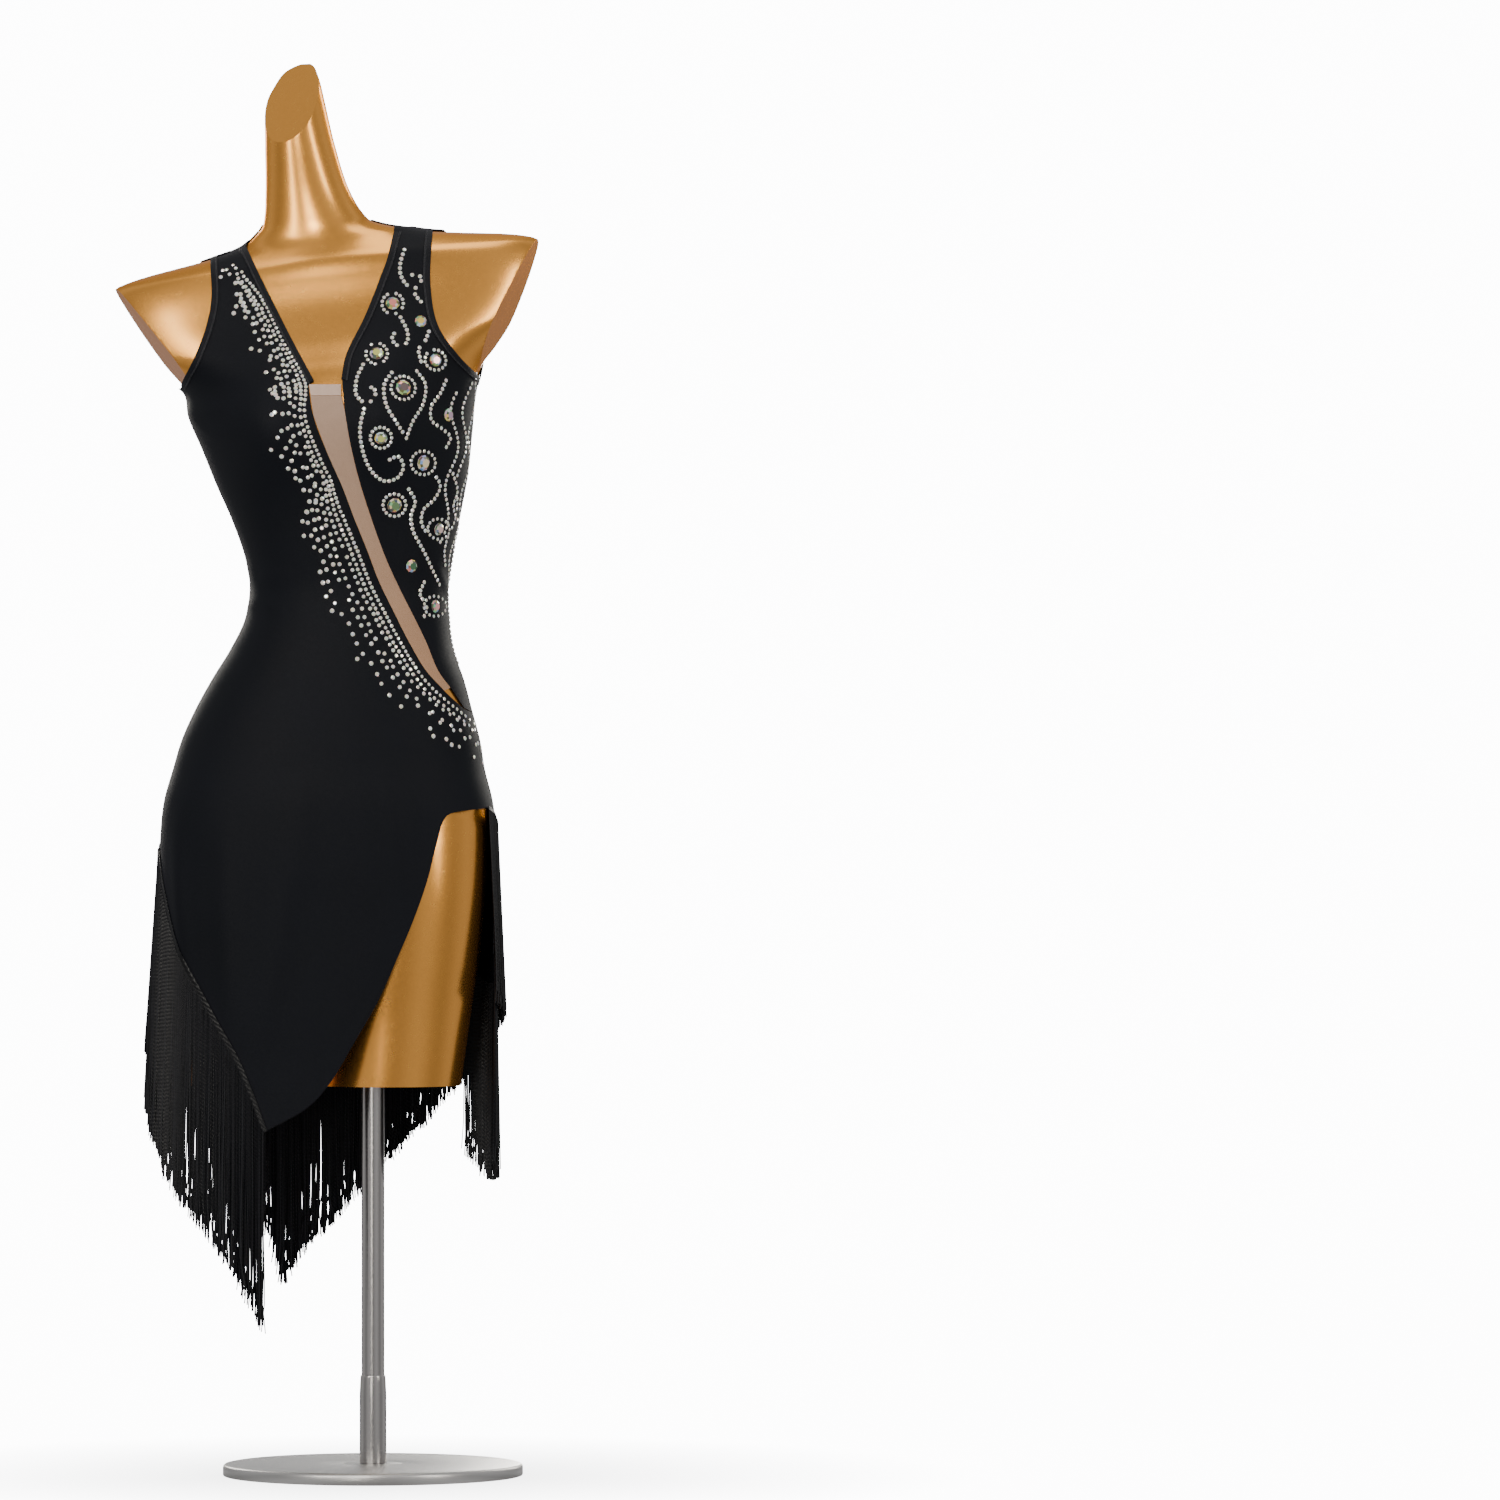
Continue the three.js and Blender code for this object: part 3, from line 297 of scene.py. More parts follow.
def curve(points, step=3.0):
    """A centripetal curve through outline points, as evenly spaced points."""
    p = [np.array(q, float) for q in points]
    p = [2 * p[0] - p[1], *p, 2 * p[-1] - p[-2]]
    fine = []
    for i in range(1, len(p) - 2):
        t = [0.0]
        for j in range(3):
            t.append(t[-1] + max(np.linalg.norm(p[i + j] - p[i + j - 1]), 1e-6) ** 0.5)
        for s in np.linspace(t[1], t[2], 24, endpoint=False):
            a = [between_knots(s, t[j], t[j + 1], p[i - 1 + j], p[i + j]) for j in range(3)]
            b = [between_knots(s, t[j], t[j + 2], a[j], a[j + 1]) for j in range(2)]
            fine.append(between_knots(s, t[1], t[2], *b))
    fine.append(p[-2])
    return respaced(np.array(fine), step)


def run_along(points):
    """How far along its line each point lies."""
    return np.concatenate([[0], np.cumsum(np.linalg.norm(np.diff(points, axis=0), axis=1))])


def respaced(points, step):
    gone = run_along(points)
    count = max(int(round(gone[-1] / step)), 1)
    at = np.linspace(0, gone[-1], count + 1)
    return np.stack([np.interp(at, gone, points[:, k]) for k in range(points.shape[1])], axis=-1)


def shifted(points, x, z=0.0):
    """The outline moved by x and z."""
    return [(p[0] + x, p[1] + z) for p in points]


def grid_bmesh(across, along, place, wrap_u=False, wrap_v=False, ends=False):
    """A grid whose points are placed by place(u, v), u and v from 0 to 1, closed where it wraps."""
    bm = bmesh.new()
    bmesh.ops.create_grid(bm, x_segments=across, y_segments=along, size=0.5)
    uv = np.array([v.co[:2] for v in bm.verts]) + 0.5
    spots = place(uv[:, 0], uv[:, 1]) * MM
    for v, co in zip(bm.verts, spots):
        v.co = co
    if wrap_u or wrap_v:
        bmesh.ops.remove_doubles(bm, verts=bm.verts, dist=2e-6)
    if ends:
        bmesh.ops.holes_fill(bm, edges=[e for e in bm.edges if e.is_boundary], sides=0)
    bmesh.ops.recalc_face_normals(bm, faces=bm.faces)
    return bm


def sweep(rings, closed=False):
    """A closed skin over rings of points of one length: rings is [ring][point][xyz] in mm."""
    rings = np.asarray(rings, float)
    n, m = rings.shape[:2]
    looped = np.concatenate([rings, rings[:, :1]], axis=1)

    def place(u, v):
        j = np.rint(u * m).astype(int)
        i = np.rint(v * (n - 1)).astype(int)
        return looped[i, j]

    return grid_bmesh(m, n - 1, place, wrap_u=True, ends=not closed)


def prism_bmesh(outline, near, far):
    """An outline in x and z, extruded along y from near to far, all in mm."""
    bm = bmesh.new()
    verts = [bm.verts.new((x * MM, near * MM, z * MM)) for x, z in outline]
    face = bm.faces.new(verts)
    made = bmesh.ops.extrude_face_region(bm, geom=[face])
    moved = [g for g in made["geom"] if isinstance(g, bmesh.types.BMVert)]
    bmesh.ops.translate(bm, verts=moved, vec=(0, (far - near) * MM, 0))
    bmesh.ops.recalc_face_normals(bm, faces=bm.faces)
    return bm


def linked(name, data):
    """A new object of the scene that holds the data."""
    shape = bpy.data.objects.new(name, data)
    bpy.context.scene.collection.objects.link(shape)
    return shape


def bare_object(name, bm):
    mesh = bpy.data.meshes.new(name)
    bm.to_mesh(mesh)
    bm.free()
    return linked(name, mesh)


def taken_in(bm, shape):
    """The bmesh with an object's mesh added to it; the object goes."""
    bm.from_mesh(shape.data)
    drop(shape)
    return bm


def combined(first, second, operation):
    """The Boolean of two objects as a bmesh; the first object is kept and the second goes."""
    cut = first.modifiers.new("Cut", "BOOLEAN")
    cut.operation = operation
    cut.solver = "MANIFOLD"
    cut.object = second
    graph = bpy.context.evaluated_depsgraph_get()
    bm = bmesh.new()
    bm.from_mesh(first.evaluated_get(graph).to_mesh())
    first.modifiers.remove(cut)
    drop(second)
    if not bm.faces:
        raise RuntimeError(f"{first.name}: {operation} left nothing")
    return bm


def drop(shape):
    mesh = shape.data
    bpy.data.objects.remove(shape)
    bpy.data.meshes.remove(mesh)


def finished(name, bm, material, replaced=(), sharp=38.0):
    """The bmesh as a finished piece of the object: smooth where it turns gently, and riding."""
    piece = bare_object(name, bm)
    piece.data.shade_smooth()
    if sharp:
        piece.data.set_sharp_from_angle(angle=math.radians(sharp))
    piece.data.materials.clear()
    piece.data.materials.append(material)
    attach(piece, "root")
    if replaced:
        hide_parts(*replaced)
    return piece


def repeated(template, count):
    """A bmesh with count copies of the template's mesh, in order."""
    bm = template.copy()
    made = 1
    while made < count:
        more = min(made, count - made)
        verts = list(bm.verts)[: more * len(template.verts)]
        edges = list(bm.edges)[: more * len(template.edges)]
        faces = list(bm.faces)[: more * len(template.faces)]
        bmesh.ops.duplicate(bm, geom=verts + edges + faces)
        made += more
    return bm


def placed_copies(template, spots, rights, ups, outs, sizes):
    """Copies of a template at spots, turned to frames of three axes, all in mm."""
    base = np.array([v.co for v in template.verts])
    bm = repeated(template, len(spots))
    axes = np.stack([rights, ups, outs], axis=1)
    where = (np.einsum("kj,njc->nkc", base, axes) * np.asarray(sizes)[:, None, None]
             + np.asarray(spots)[:, None, :]).reshape(-1, 3) * MM
    for v, co in zip(bm.verts, where):
        v.co = co
    return bm


def tag_copies(piece, name, count, values):
    """A value for each copy, kept on the mesh's points for the material."""
    layer = piece.data.attributes.new(name, "FLOAT", "POINT")
    each = len(piece.data.vertices) // count
    layer.data.foreach_set("value", np.repeat(np.asarray(values, float), each))


def frames_on_cloth(height, angle, spin):
    """Right, up and out directions of the cloth at places, turned by spin about out."""
    out = normal_at(DRESS, height, angle)
    up = np.broadcast_to(np.array([0.0, 0.0, 1.0]), out.shape)
    right = unit(np.cross(up, out))
    up = np.cross(out, right)
    c, s = np.cos(spin)[:, None], np.sin(spin)[:, None]
    return right * c + up * s, up * c - right * s, out


def edge_places(points, side, aside=0.0, step=3.0):
    """Places along an outline on the cloth, moved aside by so many millimetres along the surface."""
    line = curve(points, step)
    height, angle = seen_at(line[:, 0], line[:, 1], side)
    return moved_aside(height, angle, aside)


def moved_aside(height, angle, aside):
    """Places moved square to their own line along the surface, by aside in mm."""
    spots = on_form(DRESS, height, angle)
    want = unit(np.cross(np.gradient(spots, axis=0), normal_at(DRESS, height, angle))) * aside
    turn, rise = 0.01, 1.0
    by_turn = (on_form(DRESS, height, angle + turn) - on_form(DRESS, height, angle - turn)) / (2 * turn)
    by_rise = (on_form(DRESS, height + rise, angle) - on_form(DRESS, height - rise, angle)) / (2 * rise)
    tt, hh, th = (by_turn ** 2).sum(-1), (by_rise ** 2).sum(-1), (by_turn * by_rise).sum(-1)
    tw, hw = (by_turn * want).sum(-1), (by_rise * want).sum(-1)
    det = tt * hh - th * th
    return height + (hw * tt - tw * th) / det, angle + (tw * hh - hw * th) / det


def band_bmesh(height, angle, low, high, profile, half=0):
    """A band swept along places: profile is (aside from 0 to 1, lift) round its section.

    A half of FRONT or BACK keeps the band on that side of the side seams.
    """
    rings = []
    for share, lift in profile:
        h, a = moved_aside(height, angle, low + (high - low) * share)
        if half:
            a = half * np.clip(half * a, 0.002, np.pi - 0.002)
        rings.append(on_cloth(h, a, lift))
    return sweep(np.stack(rings, axis=1))


def flat_profile(base, wall, bulge=0.35):
    """A soft-edged flat section lying on base, for bindings and tapes."""
    return [
        (0.0, base + wall * 0.3), (0.03, base), (0.5, base), (0.97, base), (1.0, base + wall * 0.3),
        (0.98, base + wall * 0.8), (0.85, base + wall), (0.5, base + wall * (1 + bulge)),
        (0.15, base + wall), (0.02, base + wall * 0.8),
    ]


class Tree:
    """A short way to place and join shader nodes."""

    def __init__(self, tree):
        self.tree = tree

    def add(self, kind, **settings):
        made = self.tree.nodes.new(kind)
        for key, value in settings.items():
            setattr(made, key, value)
        return made

    def put(self, socket, value):
        if isinstance(value, bpy.types.NodeSocket):
            self.tree.links.new(value, socket)
        else:
            socket.default_value = value

    def maths(self, operation, *values, clamp=False):
        made = self.add("ShaderNodeMath", operation=operation, use_clamp=clamp)
        for socket, value in zip(made.inputs, values):
            self.put(socket, value)
        return made.outputs[0]

    def ramp(self, value, stops):
        made = self.add("ShaderNodeValToRGB")
        while len(made.color_ramp.elements) < len(stops):
            made.color_ramp.elements.new(0.5)
        for element, (at, colour) in zip(made.color_ramp.elements, stops):
            element.position = at
            element.color = colour
        self.put(made.inputs["Fac"], value)
        return made.outputs["Color"]

    def noise(self, vector, scale, detail=3.0, rough=0.5):
        made = self.add("ShaderNodeTexNoise")
        self.put(made.inputs["Vector"], vector)
        self.put(made.inputs["Scale"], scale)
        self.put(made.inputs["Detail"], detail)
        self.put(made.inputs["Roughness"], rough)
        return made.outputs["Fac"]

    def mix(self, share, a, b, mode="MIX"):
        made = self.add("ShaderNodeMix", data_type="RGBA", blend_type=mode)
        self.put(made.inputs["Factor"], share)
        self.put(made.inputs["A"], a)
        self.put(made.inputs["B"], b)
        return made.outputs["Result"]

    def parts(self, vector):
        made = self.add("ShaderNodeSeparateXYZ")
        self.put(made.inputs[0], vector)
        return made.outputs

    def attribute(self, name):
        return self.add("ShaderNodeAttribute", attribute_name=name).outputs["Fac"]

    def bump(self, height, strength, distance):
        made = self.add("ShaderNodeBump")
        self.put(made.inputs["Strength"], strength)
        self.put(made.inputs["Distance"], distance)
        self.put(made.inputs["Height"], height)
        return made.outputs["Normal"]


def new_group(name, inputs, outputs):
    group = bpy.data.node_groups.new(name, "ShaderNodeTree")
    for title, kind, default in inputs:
        socket = group.interface.new_socket(title, in_out="INPUT", socket_type=kind)
        if default is not None:
            socket.default_value = default
    for title, kind in outputs:
        group.interface.new_socket(title, in_out="OUTPUT", socket_type=kind)
    tree = Tree(group)
    return group, tree, tree.add("NodeGroupInput").outputs, tree.add("NodeGroupOutput").inputs


def knit_group():
    """Fine ribs crossed by finer courses, as on stretch jersey."""
    group, t, given, out = new_group(
        "Knit", [("Vector", "NodeSocketVector", None), ("Pitch", "NodeSocketFloat", 0.7)],
        [("Height", "NodeSocketFloat"), ("Shade", "NodeSocketFloat")])
    parts = t.parts(given["Vector"])
    scale = t.maths("DIVIDE", TURN_PER_METRE, given["Pitch"])
    flow = t.maths("MULTIPLY", t.noise(given["Vector"], 40.0, 2.0), 2.5)
    rib = t.maths("SINE", t.maths("ADD", t.maths("MULTIPLY", parts["X"], scale), flow))
    across = t.maths("MULTIPLY", parts["Z"], t.maths("MULTIPLY", scale, 1.4))
    course = t.maths("SINE", t.maths("ADD", across, t.maths("MULTIPLY", rib, 0.9)))
    height = t.maths("ADD", t.maths("MULTIPLY", rib, 0.3), t.maths("MULTIPLY", course, 0.2))
    t.put(out["Height"], t.maths("ADD", height, 0.5))
    t.put(out["Shade"], t.noise(given["Vector"], 9.0, 4.0, 0.6))
    return group


def grain_group():
    """Slow waves and fine specks of a sprayed or brushed hard finish."""
    group, t, given, out = new_group(
        "Grain", [("Vector", "NodeSocketVector", None), ("Scale", "NodeSocketFloat", 30.0)],
        [("Height", "NodeSocketFloat"), ("Shade", "NodeSocketFloat")])
    t.put(out["Height"], t.noise(given["Vector"], given["Scale"], 2.0, 0.4))
    t.put(out["Shade"], t.noise(given["Vector"], t.maths("MULTIPLY", given["Scale"], 14.0), 3.0, 0.6))
    return group


def start_material(name, colour, roughness, metallic=0.0, **sockets):
    """A material with plain values, its node tree, its shader's inputs and its object coordinates."""
    made = bpy.data.materials.new(name)
    made.use_nodes = True
    made.diffuse_color = (*colour, 1)
    t = Tree(made.node_tree)
    s = made.node_tree.nodes["Principled BSDF"].inputs
    values = {"Base_Color": (*colour, 1), "Roughness": roughness, "Metallic": metallic, **sockets}
    for key, value in values.items():
        t.put(s[key.replace("_", " ")], value)
    return made, t, s, t.add("ShaderNodeTexCoord").outputs["Object"]


def use_group(t, group, vector, **values):
    made = t.add("ShaderNodeGroup")
    made.node_tree = group
    t.put(made.inputs["Vector"], vector)
    for key, value in values.items():
        t.put(made.inputs[key], value)
    return made.outputs


def finish(t, s, colour=None, rough=None, bump=None):
    """Joins a colour, a roughness of (mask, swing, start) and a bump of (height, strength, distance)."""
    if colour is not None:
        t.put(s["Base Color"], colour)
    if rough:
        t.put(s["Roughness"], t.maths("MULTIPLY_ADD", *rough))
    if bump:
        t.put(s["Normal"], t.bump(*bump))


def tones(colour, *shares):
    return [(*[min(c * share, 1) for c in colour], 1) for share in shares]


def black_cloths(made, knit, black):
    """Lycra and the bindings folded from it; each row has pitch, lightest tone, roughness and relief."""
    cool = (0.55, 0.6, 0.75, 1)
    rows = {
        "lycra": ("Black stretch lycra", 0.8, 1.5, (0.16, 0.5), 0.25,
                  {"Specular_IOR_Level": 0.13, "Sheen_Roughness": 0.35}),
        "binding": ("Black folded binding", 0.6, 1.4, (0.18, 0.42), 0.4, {"Specular_IOR_Level": 0.17}),
    }
    for key, (name, pitch, light, rough, strength, sockets) in rows.items():
        made[key], t, s, where = start_material(
            name, black, 0.5, Sheen_Weight=0.015, Sheen_Tint=cool, **sockets)
        k = use_group(t, knit, where, Pitch=pitch)
        finish(t, s, t.mix(k["Shade"], *tones(black, 0.7, light)), (k["Shade"], *rough),
               (k["Height"], strength, 0.0002))


def fringe_cord(made, black):
    made["fringe"], t, s, where = start_material("Black fringe cord", black, 0.42, Specular_IOR_Level=0.3)
    strand = t.attribute("strand")
    colour = t.ramp(strand, [
        (0.0, (0.002, 0.002, 0.003, 1)), (0.6, (0.004, 0.004, 0.006, 1)), (1.0, (0.012, 0.0125, 0.016, 1))])
    twist = t.add("ShaderNodeTexWave", wave_type="BANDS", bands_direction="DIAGONAL")
    t.put(twist.inputs["Vector"], where)
    t.put(twist.inputs["Scale"], 160.0)
    t.put(twist.inputs["Distortion"], 1.5)
    finish(t, s, colour, (strand, 0.22, 0.34), (twist.outputs["Fac"], 0.5, 0.0004))


def nude_cloths(made, knit):
    """The see-through diamond mesh of the inset, and the shiny elastic along its top."""
    made["mesh"], t, s, where = start_material(
        "Nude stretch mesh", (0.42, 0.27, 0.17), 0.62, Sheen_Weight=0.35, Sheen_Tint=(0.9, 0.75, 0.6, 1))
    parts = t.parts(where)
    slants = []
    for way in ("ADD", "SUBTRACT"):
        slant = t.maths("SINE", t.maths("MULTIPLY", t.maths(way, parts["X"], parts["Z"]), 4300.0))
        slants.append(t.maths("ABSOLUTE", slant))
    thread = t.maths("MULTIPLY", t.maths("SUBTRACT", t.maths("MAXIMUM", *slants), 0.55), 3.0, clamp=True)
    lower = t.maths("MULTIPLY_ADD", parts["Z"], 4.2, -3.45, clamp=True)
    tone = t.ramp(lower, [
        (0.0, (0.48, 0.22, 0.08, 1)), (0.5, (0.44, 0.24, 0.13, 1)), (1.0, (0.44, 0.27, 0.18, 1))])
    finish(t, s, t.mix(t.maths("MULTIPLY", thread, 0.35), tone, (0.60, 0.44, 0.34, 1)), None,
           (thread, 0.4, 0.0002))
    t.put(s["Alpha"], t.maths("MULTIPLY_ADD", thread, 0.4, 0.6, clamp=True))

    made["elastic"], t, s, where = start_material(
        "Shiny nude elastic", (0.72, 0.50, 0.38), 0.25, Coat_Weight=0.6, Coat_Roughness=0.15)
    k = use_group(t, knit, where, Pitch=1.1)
    finish(t, s, t.mix(k["Height"], (0.50, 0.30, 0.22, 1), (0.80, 0.60, 0.48, 1)), None,
           (k["Height"], 0.7, 0.0003))


def metals(made, grain, gold):
    """The form's gold paint and the stand's two steels."""
    made["gold"], t, s, where = start_material(
        "Gold painted form", gold, 0.25, 0.94, Coat_Weight=0.25, Coat_Roughness=0.12,
        Specular_Tint=(0.75, 0.45, 0.26, 1))
    g = use_group(t, grain, where, Scale=14.0)
    finish(t, s, t.mix(g["Shade"], *tones(gold, 0.94, 1.05)), (g["Shade"], 0.05, 0.24),
           (g["Height"], 0.02, 0.002))
    for key, name, colour, drawn, scale, rough, strength in (
            ("steel", "Drawn steel tube", (0.46, 0.44, 0.43), 0.4, 120.0, 0.12, 0.05),
            ("foot", "Satin steel foot", (0.55, 0.54, 0.53), 0.0, 90.0, 0.24, 0.08)):
        made[key], t, s, where = start_material(name, colour, rough, 1.0, Anisotropic=drawn)
        g = use_group(t, grain, where, Scale=scale)
        finish(t, s, None, (g["Shade"], 0.2, rough), (g["Shade"], strength, 0.0005))


def cut_stone(made):
    """Foiled glass with painted glints: each facet's colour is painted by the way it faces, in many hues. The
    large stones are more saturated and have painted dark facets, and all stones have a faint painted glow.
    """
    # Emission Strength 0.12 in the facet colour is a painted glow, since the stones are no lamps.
    made["stone"], t, s, where = start_material(
        "Foiled cut stone", (0.9, 0.93, 0.9), 0.06, 0.45, Coat_Weight=0.5, Coat_Roughness=0.02,
        Emission_Strength=0.12)
    tint, large = t.attribute("tint"), t.attribute("large")
    sides = t.parts(t.add("ShaderNodeNewGeometry").outputs["Normal"])
    # Painted glints: each facet's hue is picked from the ramp by the way it faces, offset by the stone's
    # random tint.
    swing = t.maths("FRACT", t.maths("ADD", t.maths("MULTIPLY", sides["X"], 3.7),
                                     t.maths("ADD", t.maths("MULTIPLY", sides["Z"], 4.3), tint)))
    painted_glint_hue = t.ramp(swing, [
        (0.0, (0.86, 0.95, 0.88, 1)), (0.12, (0.12, 0.60, 0.26, 1)), (0.27, (0.62, 0.72, 0.16, 1)),
        (0.42, (0.92, 0.60, 0.06, 1)), (0.52, (0.97, 0.94, 0.88, 1)), (0.64, (0.82, 0.16, 0.12, 1)),
        (0.76, (0.92, 0.45, 0.50, 1)), (0.88, (0.16, 0.40, 0.90, 1)), (1.0, (0.86, 0.95, 0.88, 1))])
    # The large stones show more of the painted glint hue and less of the pale white.
    vivid = t.maths("MULTIPLY_ADD", large, 0.5, 0.42, clamp=True)
    # Painted dark facets on the large stones: facets picked by the way they face are turned near black, as
    # painted reflections of dark surroundings.
    turned = t.maths("MULTIPLY_ADD", tint, 3.3, t.maths("MULTIPLY", sides["Z"], 7.7))
    glance = t.maths("FRACT", t.maths("MULTIPLY_ADD", sides["X"], 9.1, turned))
    deep = t.maths("MULTIPLY", large, t.maths("MULTIPLY_ADD", glance, -3.0, 1.5, clamp=True))
    pale = t.mix(vivid, (0.95, 0.96, 0.94, 1), painted_glint_hue)
    # The facet colour with its painted glints and painted dark facets, used as base colour and as painted
    # glow.
    cut = t.mix(t.maths("MULTIPLY", deep, 0.88), pale, (0.035, 0.05, 0.03, 1))
    finish(t, s, cut)
    t.put(s["Emission Color"], cut)


def seam_thread(made, knit):
    made["thread"], t, s, where = start_material("Dark seam thread", (0.03, 0.03, 0.038), 0.5)
    k = use_group(t, knit, where, Pitch=0.4)
    finish(t, s, t.mix(k["Height"], (0.02, 0.02, 0.025, 1), (0.06, 0.06, 0.07, 1)))


def make_materials(looks):
    knit, grain = knit_group(), grain_group()
    black, made = tuple(looks.cloth_colour), {}
    black_cloths(made, knit, black)
    fringe_cord(made, black)
    nude_cloths(made, knit)
    metals(made, grain, tuple(looks.gold_colour))
    cut_stone(made)
    seam_thread(made, knit)
    return made


MATERIALS = {}


def material(name):
    if not MATERIALS:
        MATERIALS.update(make_materials(bpy.context.scene.dance_dress_looks))
    return MATERIALS[name]


class DanceDressSizes(bpy.types.PropertyGroup):
    """Sizes of the dress that a user would change"""

    cloth_inside: bpy.props.FloatProperty(
        name="Cloth inside", description="How far the cloth's inside lies off the form, in mm", default=0.7)
    cloth_wall: bpy.props.FloatProperty(
        name="Cloth wall", description="How thick the cloth is, in mm", default=1.0)
    binding_width: bpy.props.FloatProperty(
        name="Binding width", description="How wide the folded bindings are, in mm", default=7.0)
    strand_pitch: bpy.props.FloatProperty(
        name="Strand pitch", description="How far apart the fringe's cords stand, in mm", default=1.25)
    strand_radius: bpy.props.FloatProperty(
        name="Strand radius", description="Half the thickness of one fringe cord, in mm", default=0.85)
    small_stone: bpy.props.FloatProperty(
        name="Small stone", description="Radius of the small set stones, in mm", default=2.15)


class DanceDressLooks(bpy.types.PropertyGroup):
    """Colours of the dress and the form"""

    cloth_colour: bpy.props.FloatVectorProperty(
        name="Cloth", description="Colour of the black lycra", subtype="COLOR", size=3,
        default=(0.0036, 0.0040, 0.0066), min=0, max=1)
    gold_colour: bpy.props.FloatVectorProperty(
        name="Gold", description="Colour of the form's paint", subtype="COLOR", size=3,
        default=(0.87, 0.385, 0.072), min=0, max=1)


def sizes():
    return bpy.context.scene.dance_dress_sizes


def cloth_outside():
    return sizes().cloth_inside + sizes().cloth_wall


def closed_loft(rows, around, along):
    """A closed body through a section table, with flat ends."""
    top, bottom = rows[0][0], rows[-1][0]

    def place(u, v):
        return on_form(rows, top + (bottom - top) * v, u * 2 * np.pi)

    return grid_bmesh(around, along, place, wrap_u=True, ends=True)


class DANCE_OT_form(bpy.types.Operator):
    """Makes the gold form: neck, shoulders, torso and two thigh stumps in one smooth shell"""

    bl_idname = "dance.form"
    bl_label = "Dress form"

    def execute(self, context):
        body = bare_object("form shape", closed_loft(FORM, *FORM_GRID))
        for rows in (SLIT_THIGH, FAR_THIGH):
            thigh = bare_object("thigh shape", closed_loft(rows, *THIGH_GRID))
            body = self.replaced(body, combined(body, thigh, "UNION"))
        for tip, pit, out, turn in ARM_CUTS:
            far = out * ARM_CUT_REACH
            cutter = prism_bmesh([tip, pit, (pit[0] + far * 2, pit[1]), (tip[0] + far, tip[1])], -DEEP, DEEP)
            bmesh.ops.rotate(cutter, verts=cutter.verts, cent=Vector((tip[0] * MM, 0, 0)),
                             matrix=Matrix.Rotation(math.radians(turn), 3, "Z"))
            body = self.replaced(body, combined(body, bare_object("arm cutter", cutter), "DIFFERENCE"))
        bm = taken_in(bmesh.new(), body)
        point, towards = NECK_CUT
        bmesh.ops.bisect_plane(
            bm, geom=list(bm.verts) + list(bm.edges) + list(bm.faces), dist=1e-6,
            plane_co=Vector(point) * MM, plane_no=Vector(towards), clear_outer=True)
        bmesh.ops.holes_fill(bm, edges=[e for e in bm.edges if e.is_boundary], sides=0)
        for tip, pit, out, turn in ARM_CUTS:
            normal = Vector((out * (tip[1] - pit[1]), 0, out * (pit[0] - tip[0]))).normalized()
            normal.rotate(Matrix.Rotation(math.radians(turn), 3, "Z"))
            start = Vector((tip[0], 0, tip[1])) * MM
            flat = [f for f in bm.faces if all(abs((v.co - start).dot(normal)) < 2e-5 for v in f.verts)]
            if len(flat) > 1:
                bmesh.ops.dissolve_faces(bm, faces=flat, use_verts=False)
        self.soften(bm)
        self.groove(bm)
        bmesh.ops.recalc_face_normals(bm, faces=bm.faces)
        finished("form_shell", bm, material("gold"), ["form_body"], sharp=50.0)
        return {"FINISHED"}

    @staticmethod
    def groove(bm):
        """Sinks the soft groove along the spine that the open back shows."""
        for v in bm.verts:
            x, z = v.co.x / MM - SPINE_X, v.co.z / MM
            if v.co.y > 0.01 and SPINE_LOW < z < SPINE_HIGH:
                share = (z - SPINE_LOW) / (SPINE_HIGH - SPINE_LOW)
                deep = math.sin(math.pi * share) ** 0.7
                dip = SPINE_DEPTH * math.exp(-(x / SPINE_WIDTH) ** 2)
                v.co.y -= deep * dip * MM

    @staticmethod
    def replaced(old, bm):
        drop(old)
        return bare_object("form shape", bm)

    @staticmethod
    def soften(bm):
        """Blends the thighs into the body, and rounds the rims of the three flat cuts."""
        near = {v for e in bm.edges if BLEND_LOW < e.verts[0].co.z < BLEND_HIGH and e.is_manifold
                and e.calc_face_angle() > math.radians(9) for v in e.verts}
        for _ in range(5):
            near |= {e.other_vert(v) for v in near for e in v.link_edges}
        near = [v for v in near if v.co.z > BLEND_LOW]
        for _ in range(30):
            bmesh.ops.smooth_vert(bm, verts=near, factor=0.5, use_axis_x=True, use_axis_y=True,
                                  use_axis_z=True)
        rims = [e for e in bm.edges if e.is_manifold and e.verts[0].co.z > 1.0
                and e.calc_face_angle() > math.radians(35)]
        bmesh.ops.bevel(bm, geom=rims, offset=RIM_ROUND * MM, offset_type="OFFSET", affect="EDGES",
                        segments=3, profile=0.5, material=-1, clamp_overlap=True)
        caps = [f for f in bm.faces if f.calc_area() > CAP_AREA]
        bmesh.ops.inset_individual(bm, faces=caps, thickness=CAP_INSET * MM, use_even_offset=True)


def spun(profile, steps):
    """A full turn of a profile of (radius, height) about Z, in mm."""
    bm = bmesh.new()
    verts = [bm.verts.new((r * MM, 0, z * MM)) for r, z in profile]
    for a, b in zip(verts, verts[1:]):
        bm.edges.new((a, b))
    bmesh.ops.spin(bm, geom=bm.verts[:] + bm.edges[:], cent=(0, 0, 0), axis=(0, 0, 1),
                   angle=math.tau, steps=steps, use_merge=True, use_duplicate=False)
    bmesh.ops.remove_doubles(bm, verts=bm.verts, dist=1e-7)
    bmesh.ops.recalc_face_normals(bm, faces=bm.faces)
    return bm


